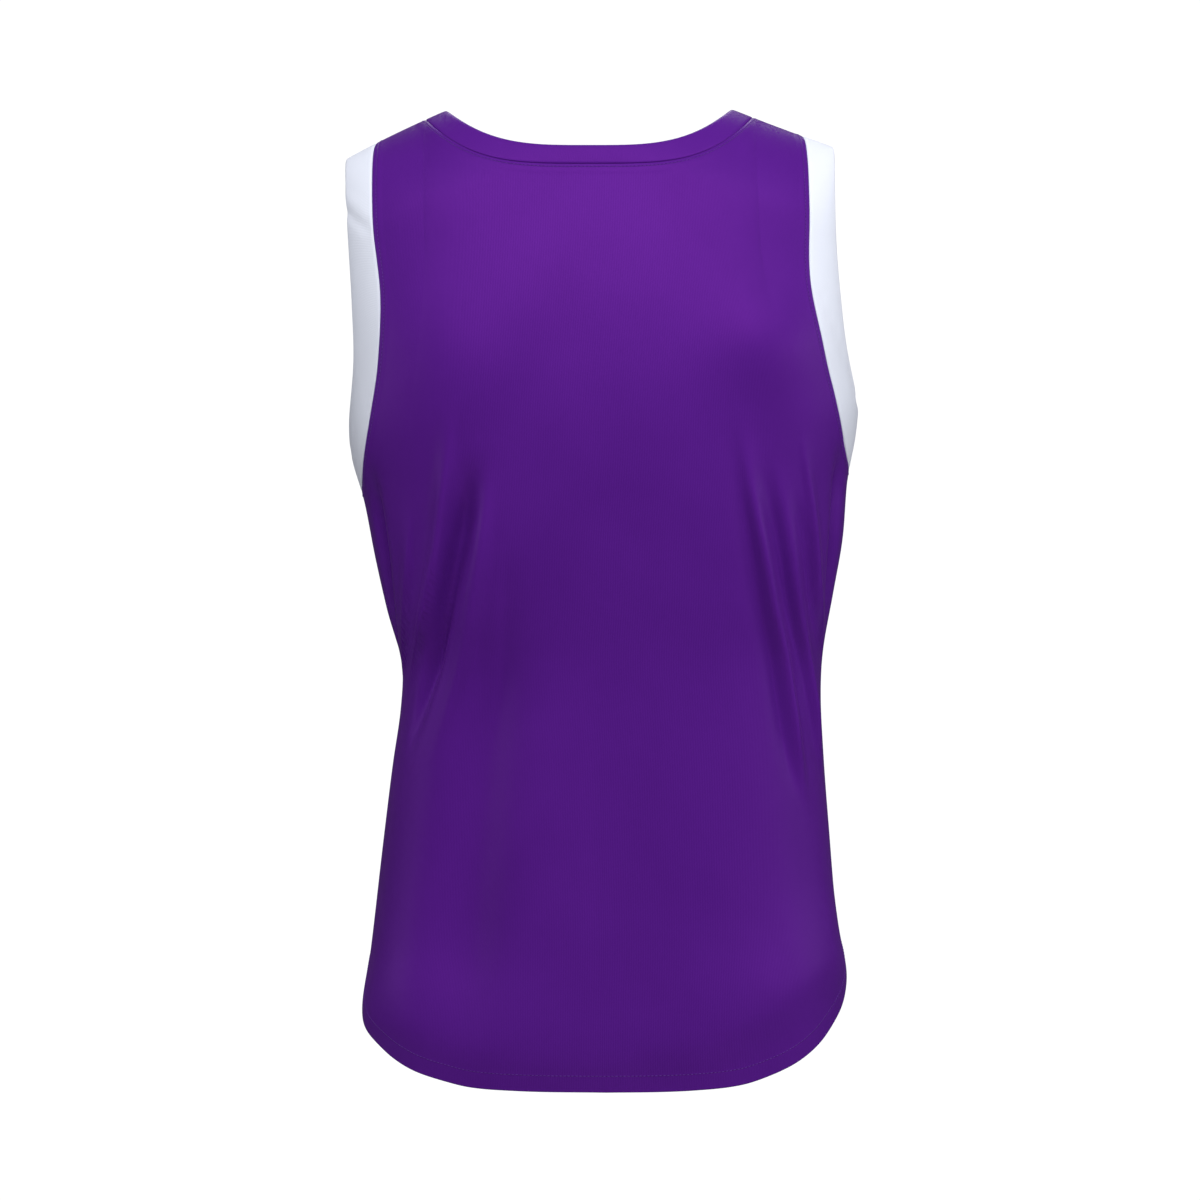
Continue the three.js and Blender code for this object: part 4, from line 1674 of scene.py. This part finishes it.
@dataclass(frozen=True)
class SoftBox:
    """A soft studio light that faces the jersey."""

    name: str
    around: float  # degrees from behind the garment towards the wearer's right
    above: float  # degrees above the level
    power: float
    distance: float = 2.8
    size: float = 1.3

    def build(self, target: Vector) -> bpy.types.Object:
        """Places the light round its target and turns it to face that.

        Args:
            target: Point that it lights.

        Returns:
            The light.
        """
        data = bpy.data.lights.new(self.name, "AREA")
        data.shape = "DISK"
        data.size = self.size
        data.energy = self.power
        lamp = bpy.data.objects.new(self.name, data)
        bpy.context.scene.collection.objects.link(lamp)
        around, above = math.radians(self.around), math.radians(self.above)
        way = Vector(
            (-math.sin(around) * math.cos(above), math.cos(around) * math.cos(above), math.sin(above))
        )
        lamp.location = target + way * self.distance
        lamp.rotation_euler = (-way).to_track_quat("-Z", "Y").to_euler()
        return lamp


@dataclass(frozen=True)
class Studio:
    """The pale floor, the soft lights and the camera."""

    floor_height: float = -1.6
    floor_radius: float = 2.5
    camera_place: tuple[float, float, float] = (-0.0085, 4.0, -0.379)
    frame_width: float = 0.9288  # what the picture takes in across, at the middle of the garment
    ambient: float = 0.05
    target: tuple[float, float, float] = (0, 0, -0.35)
    lights: tuple[SoftBox, ...] = (
        SoftBox("key_light", 0, 40, 40),
        SoftBox("top_light", 0, 60, 10),
        SoftBox("right_light", 40, 45, 22),
        SoftBox("low_right_light", 55, 12, 12),
        SoftBox("right_side_light", 84, 14, 14),
        SoftBox("left_light", -40, 45, 18),
        SoftBox("left_side_light", -84, 14, 12),
        SoftBox("far_side_light", 180, 45, 13),
    )

    def build(self) -> None:
        """Builds the floor, the world, the lights and the camera."""
        bpy.ops.object.select_all(action="DESELECT")
        bpy.ops.mesh.primitive_circle_add(
            vertices=96, radius=self.floor_radius, fill_type="NGON", location=(0, 0, self.floor_height)
        )
        floor = bpy.context.object
        floor.name = "studio_floor"
        bpy.ops.object.transform_apply(location=True, rotation=True, scale=True)
        paint = bpy.data.materials.new("matt_white_floor_paint")
        paint.use_nodes = True
        surface = paint.node_tree.nodes["Principled BSDF"]
        surface.inputs["Base Color"].default_value = linear("#f4f4f6")
        surface.inputs["Roughness"].default_value = 0.9
        floor.data.materials.append(paint)

        scene = bpy.context.scene
        scene.view_settings.view_transform = "Standard"
        world = bpy.data.worlds.new("white_studio")
        scene.world = world
        world.use_nodes = True
        tree = world.node_tree
        tree.nodes.clear()
        path = add_node(tree, "ShaderNodeLightPath")
        soft = add_node(tree, "ShaderNodeBackground", {"Color": (1, 1, 1, 1), "Strength": self.ambient})
        white = add_node(tree, "ShaderNodeBackground", {"Color": (1, 1, 1, 1), "Strength": 1.05})
        mixed = add_node(
            tree,
            "ShaderNodeMixShader",
            {},
            {0: path.outputs["Is Camera Ray"], 1: soft.outputs[0], 2: white.outputs[0]},
        )
        add_node(tree, "ShaderNodeOutputWorld", {}, {"Surface": mixed.outputs[0]})

        for light in self.lights:
            light.build(Vector(self.target))

        data = bpy.data.cameras.new("camera")
        data.sensor_width = 36
        data.lens = 36 * self.camera_place[1] / self.frame_width
        camera = bpy.data.objects.new("camera", data)
        scene.collection.objects.link(camera)
        camera.location = self.camera_place
        camera.rotation_euler = (math.pi / 2, 0, math.pi)
        scene.camera = camera


def main() -> None:
    """Builds the jersey and its studio."""
    logging.basicConfig(level=logging.INFO, format="%(message)s")
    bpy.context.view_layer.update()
    pieces = Jersey().build()
    log.info("%d pieces", len(pieces))
    Studio().build()


if __name__ == "__main__":
    main()
